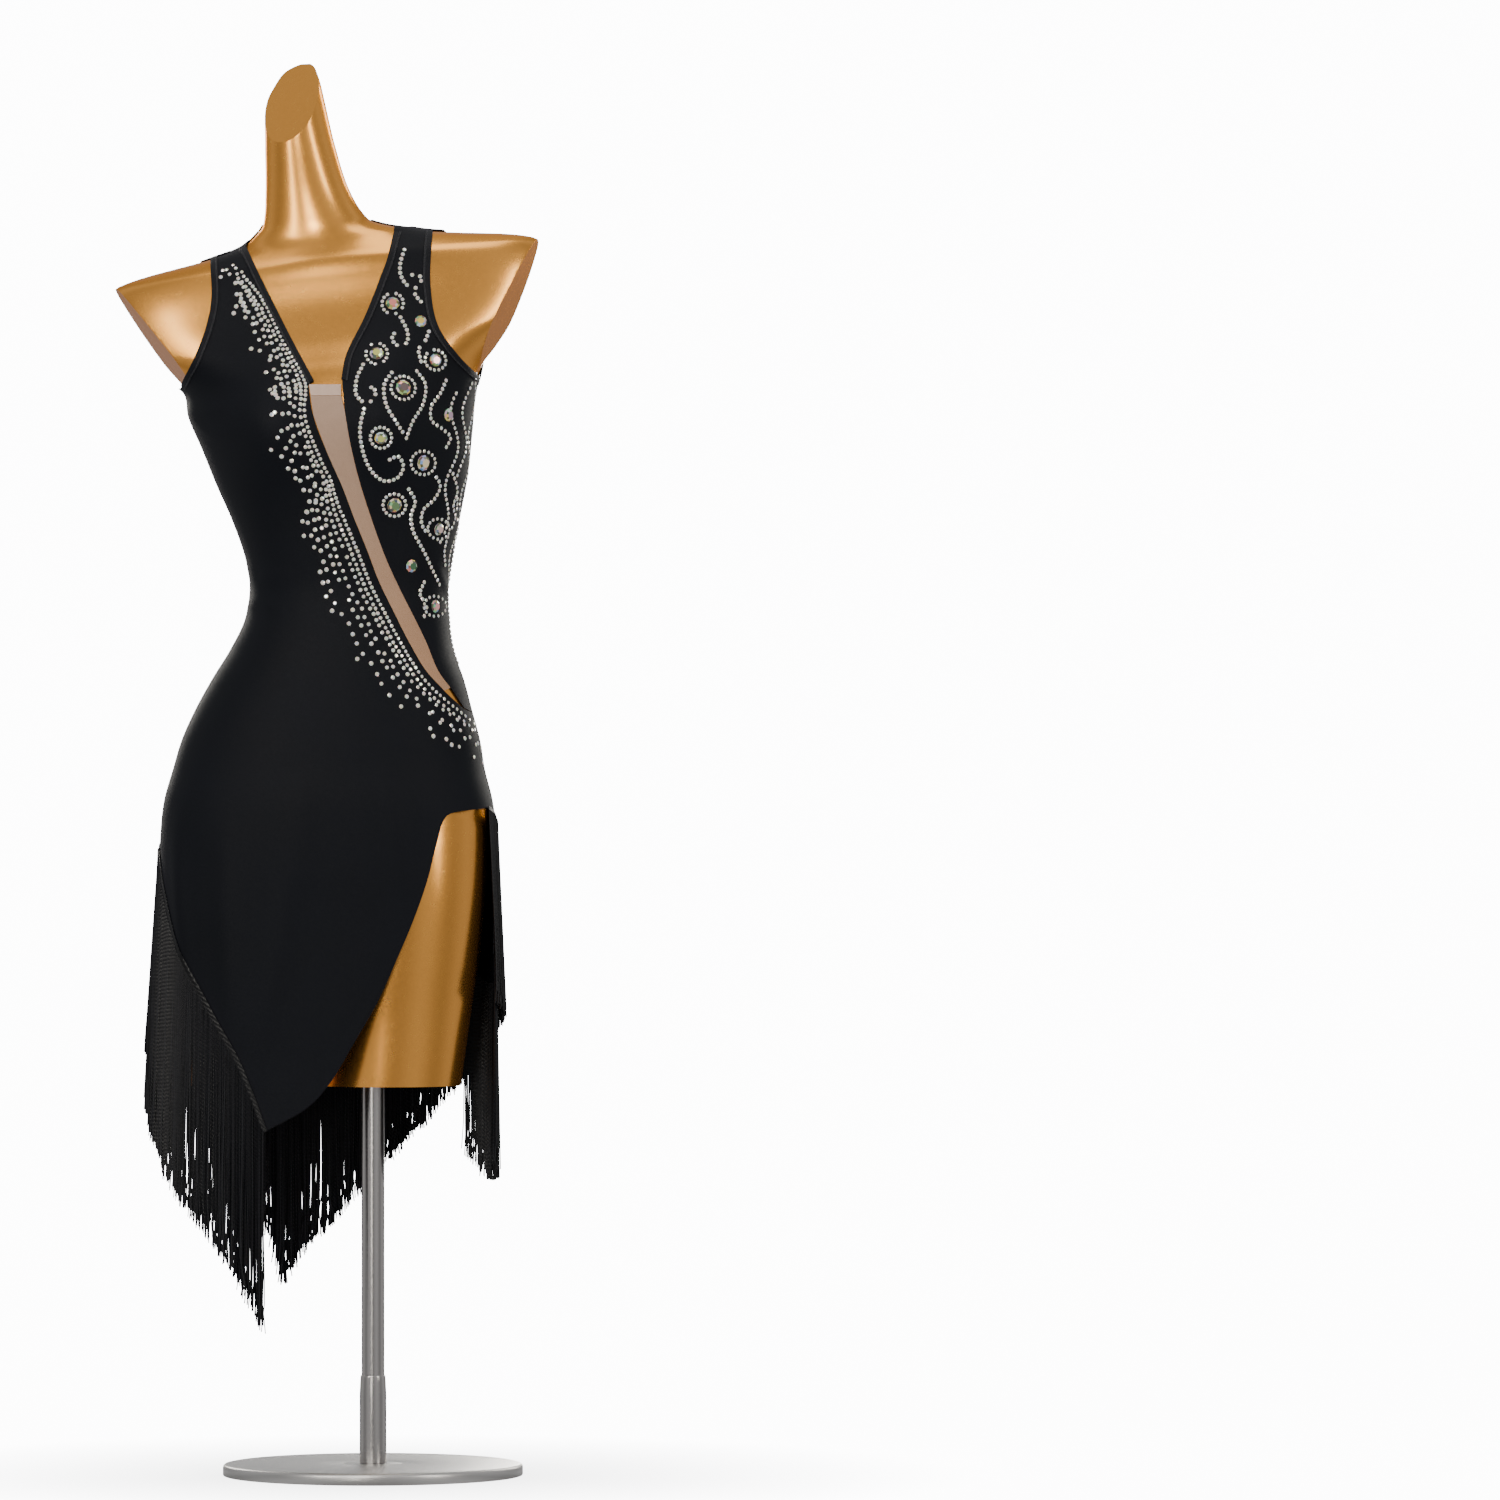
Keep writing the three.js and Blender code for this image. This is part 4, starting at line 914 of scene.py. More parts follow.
class DANCE_OT_stand(bpy.types.Operator):
    """Makes the steel tube, the sleeve at its lower end and the round foot"""

    bl_idname = "dance.stand"
    bl_label = "Stand"

    def execute(self, context):
        tube = [(0, 12.3), (11.5, 12.3), (11.5, 60), (11.5, 200), (11.5, 330), (11.5, 451), (10.5, 452),
                (0, 452)]
        finished("tube_steel", spun(tube, 96), material("steel"), ["stand_tube"])
        sleeve = [
            (11.8, 12.3), (13.5, 12.3), (13.5, 50), (13.5, 80), (13.3, 85), (12.9, 93), (12.6, 98.5),
            (12.4, 99.6), (12.1, 100), (11.8, 99.6), (11.8, 60), (11.8, 12.3),
        ]
        finished("sleeve_steel", spun(sleeve, 96), material("steel"), ["stand_sleeve"])
        foot = [
            (0, 0.4), (140, 0.4), (142, 0), (148.5, 0), (149.6, 0.4), (150, 1.5), (150, 8), (149.4, 10.2),
            (148, 11.4), (145, 12), (60, 12), (32, 12), (30.5, 11.7), (29, 11.7), (27.5, 12), (0, 12),
        ]
        finished("foot_steel", spun(foot, 160), material("foot"), ["stand_foot"])
        return {"FINISHED"}


def wall_bmesh(top, bottom, around, along, inner, outer):
    """The whole dress as one closed wall: down its outside and up its inside."""
    rounds = 2 * (along + 1)
    down = np.linspace(top, bottom, along + 1)
    heights = np.concatenate([down, down[::-1], down[:1]])
    lifts = np.concatenate([np.full(along + 1, outer), np.full(along + 1, inner), [outer]])

    def place(u, v):
        i = np.rint(v * rounds).astype(int)
        return on_cloth(heights[i], u * 2 * np.pi, lifts[i])

    return grid_bmesh(around, rounds, place, wrap_u=True, wrap_v=True)


def cut_outlines():
    """Outline in x and z, and nearest and furthest y, of every cut piece."""
    half = SEAM / 2
    inset_top = INSET_RIGHT[0][1]
    front, back = (-DEEP, -half), (half, DEEP)

    def line(points):
        return [tuple(p) for p in curve(points, 2.5)]

    slit, hem = line(SLIT_EDGE)[::-1], line(FRONT_HEM)[::-1]
    return {
        "front_right": ([
            (-126, OVER), *line(NECKLINE_RIGHT), *line(shifted(INSET_RIGHT, -half)), INSET_TIP,
            (FAR, INSET_TIP[1]), (FAR, 668), *slit, *hem[1:], (-FAR, 627), *UNDERARM_RIGHT,
            *line(ARMHOLE_RIGHT)[::-1], (-161, OVER)], *front),
        "front_left": ([
            (60, OVER), *line(ARMHOLE_LEFT), (FAR, 1097), (FAR, INSET_TIP[1] + SEAM),
            (INSET_TIP[0], INSET_TIP[1] + SEAM), *line(shifted(INSET_LEFT, half, half))[::-1],
            *line(NECKLINE_LEFT)[::-1][1:], (22, OVER)], *front),
        "mesh_inset": ([
            *line(shifted(INSET_RIGHT, half)[1:-1]), *line(shifted(INSET_LEFT, -half)[1:-1])[::-1],
            (-27.6, inset_top - ELASTIC - SEAM), (-57.8, inset_top - ELASTIC - SEAM)], *front),
        "inset_elastic": ([
            (-57.6, inset_top - ELASTIC), (-27.5, inset_top - ELASTIC), (-28, inset_top),
            (-59.6, inset_top)], *front),
        "back_panel": ([
            (63, OVER), *line(BACK_ARMHOLE_LEFT), (FAR, 1094), (FAR, 645), *line(BACK_HEM_LEFT)[::-1],
            *line(BACK_HEM_RIGHT)[::-1][1:], (-FAR, 627), *UNDERARM_RIGHT,
            *line(BACK_ARMHOLE_RIGHT)[::-1], (-160, OVER), (-117, OVER), (-117, 1250),
            *line(OPENING_RIGHT), *line(OPENING_LEFT)[::-1][1:], (21, 1256), (21, OVER)], *back),
        "neck_band_right": ([
            *shifted(BAND_RIGHT, SEAM), (CLASP_X - half, BAND_BOTTOM), (CLASP_X - half, BAND_TOP)], *back),
        "neck_band_left": ([
            (CLASP_X + half, BAND_TOP), *shifted(BAND_LEFT, -SEAM), (CLASP_X + half, BAND_BOTTOM)], *back),
    }


def largest_island(bm):
    """Leaves only the largest connected part, so a sliver past an edge doesn't stay."""
    seen, best = set(), []
    for face in bm.faces:
        if face in seen:
            continue
        island, todo = [], [face]
        seen.add(face)
        while todo:
            one = todo.pop()
            island.append(one)
            for edge in one.edges:
                for other in edge.link_faces:
                    if other not in seen:
                        seen.add(other)
                        todo.append(other)
        if len(island) > len(best):
            best = island
    keep = set(best)
    bmesh.ops.delete(bm, geom=[f for f in bm.faces if f not in keep], context="FACES")


def drape_hem(share):
    """Turn and height of the drape's lower edge, at shares of its way round."""
    return (np.radians(DRAPE_FROM + (DRAPE_TO - DRAPE_FROM) * share),
            DRAPE_HEM + DRAPE_RISE * (2 * share - 1) ** 2)


class DANCE_OT_panels(bpy.types.Operator):
    """Cuts the dress's wall into its sewn pieces, each a closed thin shell on the form"""

    bl_idname = "dance.panels"
    bl_label = "Cut pieces"

    nude = {"mesh_inset": ("mesh", "nude_mesh"), "inset_elastic": ("elastic", "nude_elastic")}

    def execute(self, context):
        inner, outer = sizes().cloth_inside, cloth_outside()
        wall = bare_object("dress wall", wall_bmesh(*WALL_ENDS, *WALL_GRID, inner, outer))
        for name, (outline, near, far) in cut_outlines().items():
            cutter = bare_object("cutter", prism_bmesh(outline, near, far))
            bm = combined(wall, cutter, "INTERSECT")
            largest_island(bm)
            look, slot = self.nude.get(name, ("lycra", "black_lycra"))
            finished(name + "_cloth", bm, material(look), [name])
        drop(wall)
        self.drape()
        return {"FINISHED"}

    @staticmethod
    def drape():
        """The corner of skirt behind the slit, which hangs inside the back panel's edge."""
        outer = 0.25
        inner = outer - sizes().cloth_wall
        steps = 50
        rounds = 2 * (steps + 1)
        down = np.linspace(0, 1, steps + 1)
        levels = np.concatenate([down, down[::-1], down[:1]])

        def place(u, v):
            turn, hem = drape_hem(u)
            i = np.rint(v * rounds).astype(int)
            lift = np.where((i <= steps) | (i == rounds), outer, inner)
            height = DRAPE_TOP + (hem - DRAPE_TOP) * levels[i]
            return on_cloth(height, turn, lift - folds(height, turn))

        bm = grid_bmesh(48, rounds, place, wrap_v=True, ends=True)
        finished("side_drape_cloth", bm, material("lycra"), ["side_drape"])


BINDINGS = {
    "neck_right": (NECKLINE_RIGHT, FRONT, 1), "neck_left": (NECKLINE_LEFT, FRONT, -1),
    "armhole_right": (ARMHOLE_RIGHT, FRONT, -1), "armhole_left": (ARMHOLE_LEFT, FRONT, 1),
    "back_armhole_right": (BACK_ARMHOLE_RIGHT, BACK, 1), "back_armhole_left": (BACK_ARMHOLE_LEFT, BACK, -1),
    "opening_right": (OPENING_RIGHT, BACK, -1), "opening_left": (OPENING_LEFT, BACK, 1),
}
SIDE_SEAMS = [("left", 0.0, 676, 1086), ("right", math.pi, 636, 1080)]


class DANCE_OT_bindings(bpy.types.Operator):
    """Sews a folded binding along the neckline, armholes and open back, and the side seams' allowances"""

    bl_idname = "dance.bindings"
    bl_label = "Bindings"

    def execute(self, context):
        width = sizes().binding_width
        profile = flat_profile(cloth_outside() + 0.05, 0.9)
        stitches = []
        for name, (outline, side, way) in BINDINGS.items():
            height, angle = edge_places(outline, side)
            bm = band_bmesh(height, angle, -0.4 * way, width * way, profile, side)
            finished(f"binding_{name}_band", bm, material("binding"), [f"binding_{name}"])
            for row in (0.72, 0.86):
                stitches.append(moved_aside(height, angle, width * way * row))
        self.stitch(stitches)
        for name, turn, low, high in SIDE_SEAMS:
            height = np.arange(low, high, 3.0)
            bm = band_bmesh(height, np.full(len(height), turn), -5.5, 5.5, flat_profile(-0.5, 0.32, 0.0))
            finished(f"side_seam_{name}_allowance", bm, material("lycra"))
        return {"FINISHED"}

    @staticmethod
    def stitch(rows):
        """Two rows of small raised stitches along the inner edge of every binding."""
        template = bmesh.new()
        bmesh.ops.create_cone(template, segments=5, radius1=0.22, radius2=0.22, depth=2.1, cap_ends=True)
        spots, rights, ups, outs = [], [], [], []
        for height, angle in rows:
            line = on_cloth(height, angle, cloth_outside() + 1.0)
            spaced = respaced(np.column_stack([line, height, angle]), 3.0)
            line, h, a = spaced[:, :3], spaced[:, 3], spaced[:, 4]
            way, out = unit(np.gradient(line, axis=0)), normal_at(DRESS, h, a)
            side = unit(np.cross(way, out))
            spots.append(line + out * 0.12)
            rights.append(side)
            ups.append(np.cross(side, way))
            outs.append(way)
        spots = np.concatenate(spots)
        bm = placed_copies(template, spots, np.concatenate(rights), np.concatenate(ups),
                           np.concatenate(outs), np.ones(len(spots)))
        template.free()
        finished("binding_stitches", bm, material("thread"), sharp=0)


class DANCE_OT_fringes(bpy.types.Operator):
    """Hangs dense cut fringe from its narrow heading along each hem"""

    bl_idname = "dance.fringes"
    bl_label = "Fringes"

    def execute(self, context):
        side = respaced(np.array(SIDE_FRINGE, float), 1.0)
        turn, hem = drape_hem(np.linspace(0.03, 0.97, 60))
        out = cloth_outside() + 0.1
        hems = [
            ("front", *edge_places(FRONT_HEM, FRONT), out, (262, 200), (12, 2), 4),
            ("back_right", *edge_places(BACK_HEM_RIGHT, BACK), out, (205, 214), (12, 2), 4),
            ("back_left", *edge_places(BACK_HEM_LEFT[:8], BACK), out, (214, 195), (2, 6), 4),
            ("side", side[:, 1], np.radians(side[:, 0]), out + 0.6, (195, 192), (4, 8), 3),
            ("drape", hem + 6, turn, 0.1, (205, 205), (0, 0), 3),
        ]
        for seed, row in enumerate(hems):
            self.hang(seed, *row)
        return {"FINISHED"}

    @staticmethod
    def hang(seed, name, height, angle, lift, lengths, sways, layers):
        """One heading with its cords; lengths and sways are at its start and its end."""
        rng = np.random.default_rng(40 + seed)
        tape = bare_object("tape", band_bmesh(height, angle, -4.5, 4.5, flat_profile(lift, 1.0, 0.2)))
        line = on_cloth(height, angle, lift + 0.6)
        plan, steep = run_along(line[:, :2]), run_along(line)
        count = int(plan[-1] / sizes().strand_pitch) * layers
        share = np.sort((np.arange(count) + rng.uniform(-0.4, 0.4, count)) / count).clip(0.002, 0.998)
        h = np.interp(share * plan[-1], plan, height)
        a = np.interp(share * plan[-1], plan, angle)
        layer = rng.uniform(-0.2, 1.0, count)
        root = on_cloth(h, a, lift + 0.7 + 0.6 * layer)
        out = normal_at(DRESS, h, a)
        out[:, 2] = 0
        out = unit(out)
        beside = np.stack([-out[:, 1], out[:, 0], np.zeros(count)], axis=-1)
        # Most cords are nearly full length, and a few are cut up to 14 mm short
        length = lengths[0] + (lengths[1] - lengths[0]) * share - 14 * rng.uniform(0, 1, count) ** 2.2
        sway = sways[0] + (sways[1] - sways[0]) * share + rng.normal(0, 1.1, count)
        clump = np.sin(share * steep[-1] / 7.0 + seed) * 0.7 + rng.normal(0, 0.7, count)
        wave = rng.uniform(0, 2 * np.pi, count)
        template = bmesh.new()
        bmesh.ops.create_cone(template, segments=CORD_SIDES, radius1=1, radius2=1, depth=1, cap_ends=True)
        rungs = [e for e in template.edges if abs(e.verts[0].co.z - e.verts[1].co.z) > 0.5]
        bmesh.ops.subdivide_edges(template, edges=rungs, cuts=CORD_STEPS - 1, use_grid_fill=False)
        base = np.array([v.co for v in template.verts])
        down = 0.5 - base[:, 2][None, :]
        bm = repeated(template, count)
        template.free()
        radius = sizes().strand_radius * rng.uniform(0.8, 1.15, count)[:, None] * (1 - 0.25 * down)
        # Each cord leans out, drifts with its clump, waves a little and may hook at its tip
        drift = clump[:, None] * down ** 1.5 * 2.0 + np.sin(wave[:, None] + 5.5 * down) * 0.9 * down
        hook = rng.normal(0, 2.2, count)[:, None] * (down > 0.95)
        lean = sway[:, None] * down + 0.6 * layer[:, None] * down
        spots = (root[:, None, :] + out[:, None, :] * (lean + base[None, :, 0] * radius)[..., None]
                 + beside[:, None, :] * (drift + hook + base[None, :, 1] * radius)[..., None])
        spots[..., 2] -= down * length[:, None]
        for v, co in zip(bm.verts, spots.reshape(-1, 3) * MM):
            v.co = co
        cords = bare_object("cords", bm)
        tag_copies(cords, "strand", count, rng.uniform(0, 1, count))
        bm = taken_in(taken_in(bmesh.new(), cords), tape)
        finished(f"fringe_{name}_cords", bm, material("fringe"), [f"fringe_{name}"], sharp=60)


def stone_template(sides, table=0.55, girdle=0.12, rise=0.5):
    """A flat-backed cut stone of radius 1: girdle, crown facets and table."""
    bm = bmesh.new()
    bmesh.ops.create_circle(bm, cap_ends=True, segments=sides, radius=1)
    bm.faces.ensure_lookup_table()
    face = bm.faces[0]
    for up, scale in ((girdle, 1.0), (rise * 0.62, 0.82), (rise, table)):
        made = bmesh.ops.extrude_face_region(bm, geom=[face])
        verts = [g for g in made["geom"] if isinstance(g, bmesh.types.BMVert)]
        face = next(g for g in made["geom"] if isinstance(g, bmesh.types.BMFace))
        centre = face.calc_center_median()
        now = max((v.co - centre).length for v in verts)
        bmesh.ops.scale(bm, verts=verts, vec=(scale / now, scale / now, 1), space=Matrix.Identity(4))
        bmesh.ops.translate(bm, verts=verts, vec=(0, 0, up - centre.z))
    bmesh.ops.recalc_face_normals(bm, faces=bm.faces)
    return bm


def set_stones(name, places, sides, seed, replaced=()):
    """A joined piece of stones: places is rows of (height, angle, radius)."""
    rng = np.random.default_rng(seed)
    places = np.array(places, float)
    h, a, r = places[:, 0], places[:, 1], places[:, 2]
    right, up, out = frames_on_cloth(h, a, rng.uniform(0, np.pi, len(h)))
    tilt = rng.normal(0, 0.05, (len(h), 2))
    out = unit(out + right * tilt[:, :1] + up * tilt[:, 1:])
    right = unit(np.cross(up, out))
    up = np.cross(out, right)
    spots = on_cloth(h, a, cloth_outside() - 0.1)
    template = stone_template(sides)
    bm = placed_copies(template, spots, right, up, out, r)
    template.free()
    piece = finished(name, bm, material("stone"), replaced, sharp=1.0)
    tag_copies(piece, "tint", len(h), rng.uniform(0, 1, len(h)))
    tag_copies(piece, "large", len(h), (r > 4).astype(float))


def row_places(points, side, pitch, radius, aside=0.0):
    """Stones set in a row along an outline seen from one side."""
    height, angle = edge_places(points, side, aside, step=pitch)
    return [(h, a, radius) for h, a in zip(height, angle)]


def spiral(cx, cz, radius, start, turns, inner=0.25, count=60):
    """Points of a scroll that winds inwards, for rows of stones: angles in degrees."""
    t = np.linspace(0, 1, count)
    angle = np.radians(start + 360 * turns * t)
    r = radius * (1 - (1 - inner) * t)
    return [(cx + rr * math.cos(g), cz + rr * math.sin(g)) for rr, g in zip(r, angle)]


class DANCE_OT_stones(bpy.types.Operator):
    """Sets the twelve large faceted stones of the left bodice"""

    bl_idname = "dance.stones"
    bl_label = "Large stones"

    def execute(self, context):
        for i, (x, z, radius) in enumerate(STONES, 1):
            height, angle = seen_at([x], [z], FRONT)
            place = (height[0], angle[0], radius)
            set_stones(f"set_stone_{i:02d}", [place], 10, 200 + i, [f"stone_{i:02d}"])
        return {"FINISHED"}


def clear_of_edge(places):
    """Leaves out the stones that would lie over another one or over the inset's binding."""
    places = np.array(places, float)
    x = on_cloth(places[:, 0], places[:, 1], 0.0)[:, 0]
    edge = np.array(sorted(NECKLINE_LEFT + INSET_LEFT, key=lambda point: point[1]), float)
    inside = x > np.interp(places[:, 0], edge[:, 1], edge[:, 0]) + 7
    kept = []
    for h, a, r in places[inside]:
        if all((h - kh) ** 2 + ((a - ka) * 100) ** 2 > (0.8 * (r + kr)) ** 2 for kh, ka, kr in kept):
            kept.append((h, a, r))
    return kept


class DANCE_OT_small_stones(bpy.types.Operator):
    """Sets the small stones: the scatter along the right front, and scrolls on bodice and back"""

    bl_idname = "dance.small_stones"
    bl_label = "Small stones"

    def execute(self, context):
        set_stones("small_stones_front", self.scatter(), 8, 11)
        set_stones("small_stones_bodice", self.bodice(), 8, 12)
        set_stones("small_stones_back", self.back(), 8, 13)
        return {"FINISHED"}

    @staticmethod
    def scatter():
        """Rows beside the neckline and the inset's edge, close at first and thinning outwards."""
        rng = np.random.default_rng(7)
        radius = sizes().small_stone
        edge = [(-131, 1211)] + NECKLINE_RIGHT[1:] + INSET_RIGHT[1:] + [(104, 752)]
        places = []
        for k, (aside, pitch) in enumerate(SCATTER_ROWS):
            height, angle = edge_places(edge, FRONT, aside, step=pitch)
            for i in range(len(height)):
                share = i / (len(height) - 1)
                limit = 22 + 34 * math.sin(math.pi * min(share + 0.04, 0.86)) ** 0.5
                limit += 5 * math.sin(share * 41.0) + rng.uniform(-5, 5)
                if angle[i] > -0.06 or k > 1 and (aside > limit or rng.uniform() < 0.012 * k):
                    continue
                jitter = min(0.1 + 0.13 * k, 1.1)
                along = rng.normal(0, jitter) + (pitch / 2 if k % 2 else 0)
                turn = rng.normal(0, jitter) / 110
                size = radius * rng.uniform(0.8, 0.94) * (1 + 0.04 * k)
                places.append((height[i] - along, angle[i] + turn, size))
        return places

    @staticmethod
    def bodice():
        """Rings round the large stones, a drop, open scrolls and wavy rows beside the side seam."""
        radius = sizes().small_stone
        places = []
        for i, (x, z, r) in enumerate(STONES):
            if i not in UNRINGED:
                ring = spiral(x, z, r + RING_GAP, 0, 1, 1.0, 24)
                places += row_places(ring, FRONT, RING_PITCH, radius * 0.85)
        paths = [
            [(33, 1222), (29, 1208), (30, 1196), (37, 1186), (45, 1184), (50, 1190), (47, 1198), (41, 1197)],
            [(50, 1170), (44, 1178), (48, 1186)], [(58, 1140), (54, 1130), (48, 1122), (50, 1110)],
            [(30, 1154), (37, 1139), (36, 1128), (26, 1126), (22, 1134), (27, 1141)],
            [(46, 1100), (54, 1088), (52, 1068), (42, 1050), (36, 1034)],
            [(22, 1098), (15, 1086), (17, 1066), (26, 1050), (35, 1036)],
            [(-6, 1106), (-12, 1092), (-12, 1076), (-3, 1068), (6, 1072), (5, 1082), (-2, 1083)],
            [(-4, 1062), (-8, 1044), (-6, 1022), (2, 1002), (14, 992), (27, 995), (33, 1006), (28, 1016),
             (20, 1013)],
            [(74, 1092), (68, 1078), (60, 1066), (60, 1052), (70, 1044), (78, 1036), (74, 1026)],
            [(62, 1000), (68, 988), (62, 974), (52, 964), (50, 950), (56, 940), (64, 934)],
            [(38, 984), (44, 972), (40, 958), (42, 942), (48, 930), (54, 918), (60, 904), (66, 890)],
            [(80, 1000), (84, 984), (80, 968), (84, 950), (80, 930), (80, 912), (76, 896)],
            [(52, 892), (48, 880), (54, 868), (52, 858)],
            [(76, 880), (80, 862), (76, 846), (78, 830), (84, 812)],
        ]
        for path in paths:
            places += row_places(path, FRONT, ROW_PITCH, radius)
        for k, start in enumerate((-0.16, -0.34, -0.52)):
            z = np.arange(1086.0 - 9 * k, 884.0 + 22 * k, -4.4)
            angle = start + 0.075 * np.sin(z / (9.0 + k)) * (1 if k % 2 else -1)
            places += [(h, a, radius * 0.95) for h, a in zip(z, angle)]
        return clear_of_edge(places)

    @staticmethod
    def back():
        """Scrolls and a pointed loop mirrored about the spine, an oval below, and rows up the sides."""
        radius = sizes().small_stone
        places = []
        half = [
            [(74, 911), (66, 903), (56, 896), (42, 884), (28, 866), (18, 844), (12, 820), (8, 790), (6, 760)],
            spiral(83, 915, 11, 200, 1.15, 0.3)[::-1],
            spiral(60, 884, 15, 70, 1.2, 0.3)[::-1],
            spiral(36, 830, 16, 150, 1.25, 0.3)[::-1],
            [(6, 760), (14, 744), (30, 738), (42, 746), (46, 760), (38, 770), (28, 764)],
            [(5, 742), (16, 722), (22, 702), (16, 682), (0, 664)],
        ]
        for path in half:
            for sign in (1, -1):
                shape = [(SPINE_X + sign * x, z) for x, z in path]
                for aside in (-2.4, 2.4):
                    places += row_places(shape, BACK, BACK_PITCH, radius * 0.98, aside)
        for start in (0.34, 0.39):
            for k, h in enumerate(np.arange(924.0, 1000, BACK_PITCH)):
                turn = start - 0.0125 * k
                places += [(h, turn, radius), (h, math.pi - turn, radius)]
        oval = [(SPINE_X + 8 * math.sin(t), 642 + 14 * math.cos(t)) for t in np.linspace(0, math.tau, 40)]
        places += row_places(oval, BACK, BACK_PITCH, radius)
        places += row_places([(SPINE_X, 650), (SPINE_X, 632)], BACK, ROW_PITCH, radius)
        return [place for place in places if 0.1 < place[1] < math.pi - 0.1]


class DANCE_OT_clasp(bpy.types.Operator):
    """Makes the fastening behind the neck: its tab, two beads and their loops"""

    bl_idname = "dance.clasp"
    bl_label = "Neck clasp"

    def execute(self, context):
        levels = np.linspace(1257, 1220, 16)
        height, angle = seen_at(np.full(len(levels), CLASP_X), levels, BACK)
        bm = band_bmesh(height, angle, -7.4, 7.4, flat_profile(cloth_outside() + 0.1, 1.2))
        finished("clasp_tab_cloth", bm, material("binding"), ["clasp_tab"])
        for name, z in (("upper", 1247), ("lower", 1232)):
            h, a = seen_at([CLASP_X], [z], BACK)
            spot = on_cloth(h, a, cloth_outside() + 4.3)[0]
            bead = bmesh.new()
            bmesh.ops.create_uvsphere(bead, u_segments=20, v_segments=14, radius=3.2 * MM)
            bmesh.ops.translate(bead, verts=bead.verts, vec=Vector(spot) * MM)
            piece = finished(f"clasp_bead_{name}_glass", bead, material("stone"),
                             [f"clasp_bead_{name}"], sharp=12)
            tag_copies(piece, "tint", 1, [0.4])
            ring = []
            for g in np.linspace(0, 2 * np.pi, 40):
                hh, aa = seen_at([CLASP_X + 5.4 * math.cos(g)], [z + 4.2 * math.sin(g)], BACK)
                middle = on_cloth(hh, aa, cloth_outside() + 2.2)[0]
                out = normal_at(DRESS, hh, aa)[0]
                radial = np.array([math.cos(g), 0.0, math.sin(g)])
                ring.append([middle + 0.6 * (radial * math.cos(k) + out * math.sin(k))
                             for k in np.linspace(0, 2 * np.pi, 8, endpoint=False)])
            loop = sweep(ring, closed=True)
            bmesh.ops.remove_doubles(loop, verts=loop.verts, dist=1e-5)
            finished(f"clasp_loop_{name}", loop, material("thread"), sharp=0)
        return {"FINISHED"}


class DANCE_OT_cuts(bpy.types.Operator):
    """Does nothing; it stands among the sidebar's steps under the label Cloth sizes"""

    bl_idname = "dance.cuts"
    bl_label = "Cloth sizes"

    def execute(self, context):
        return {"FINISHED"}


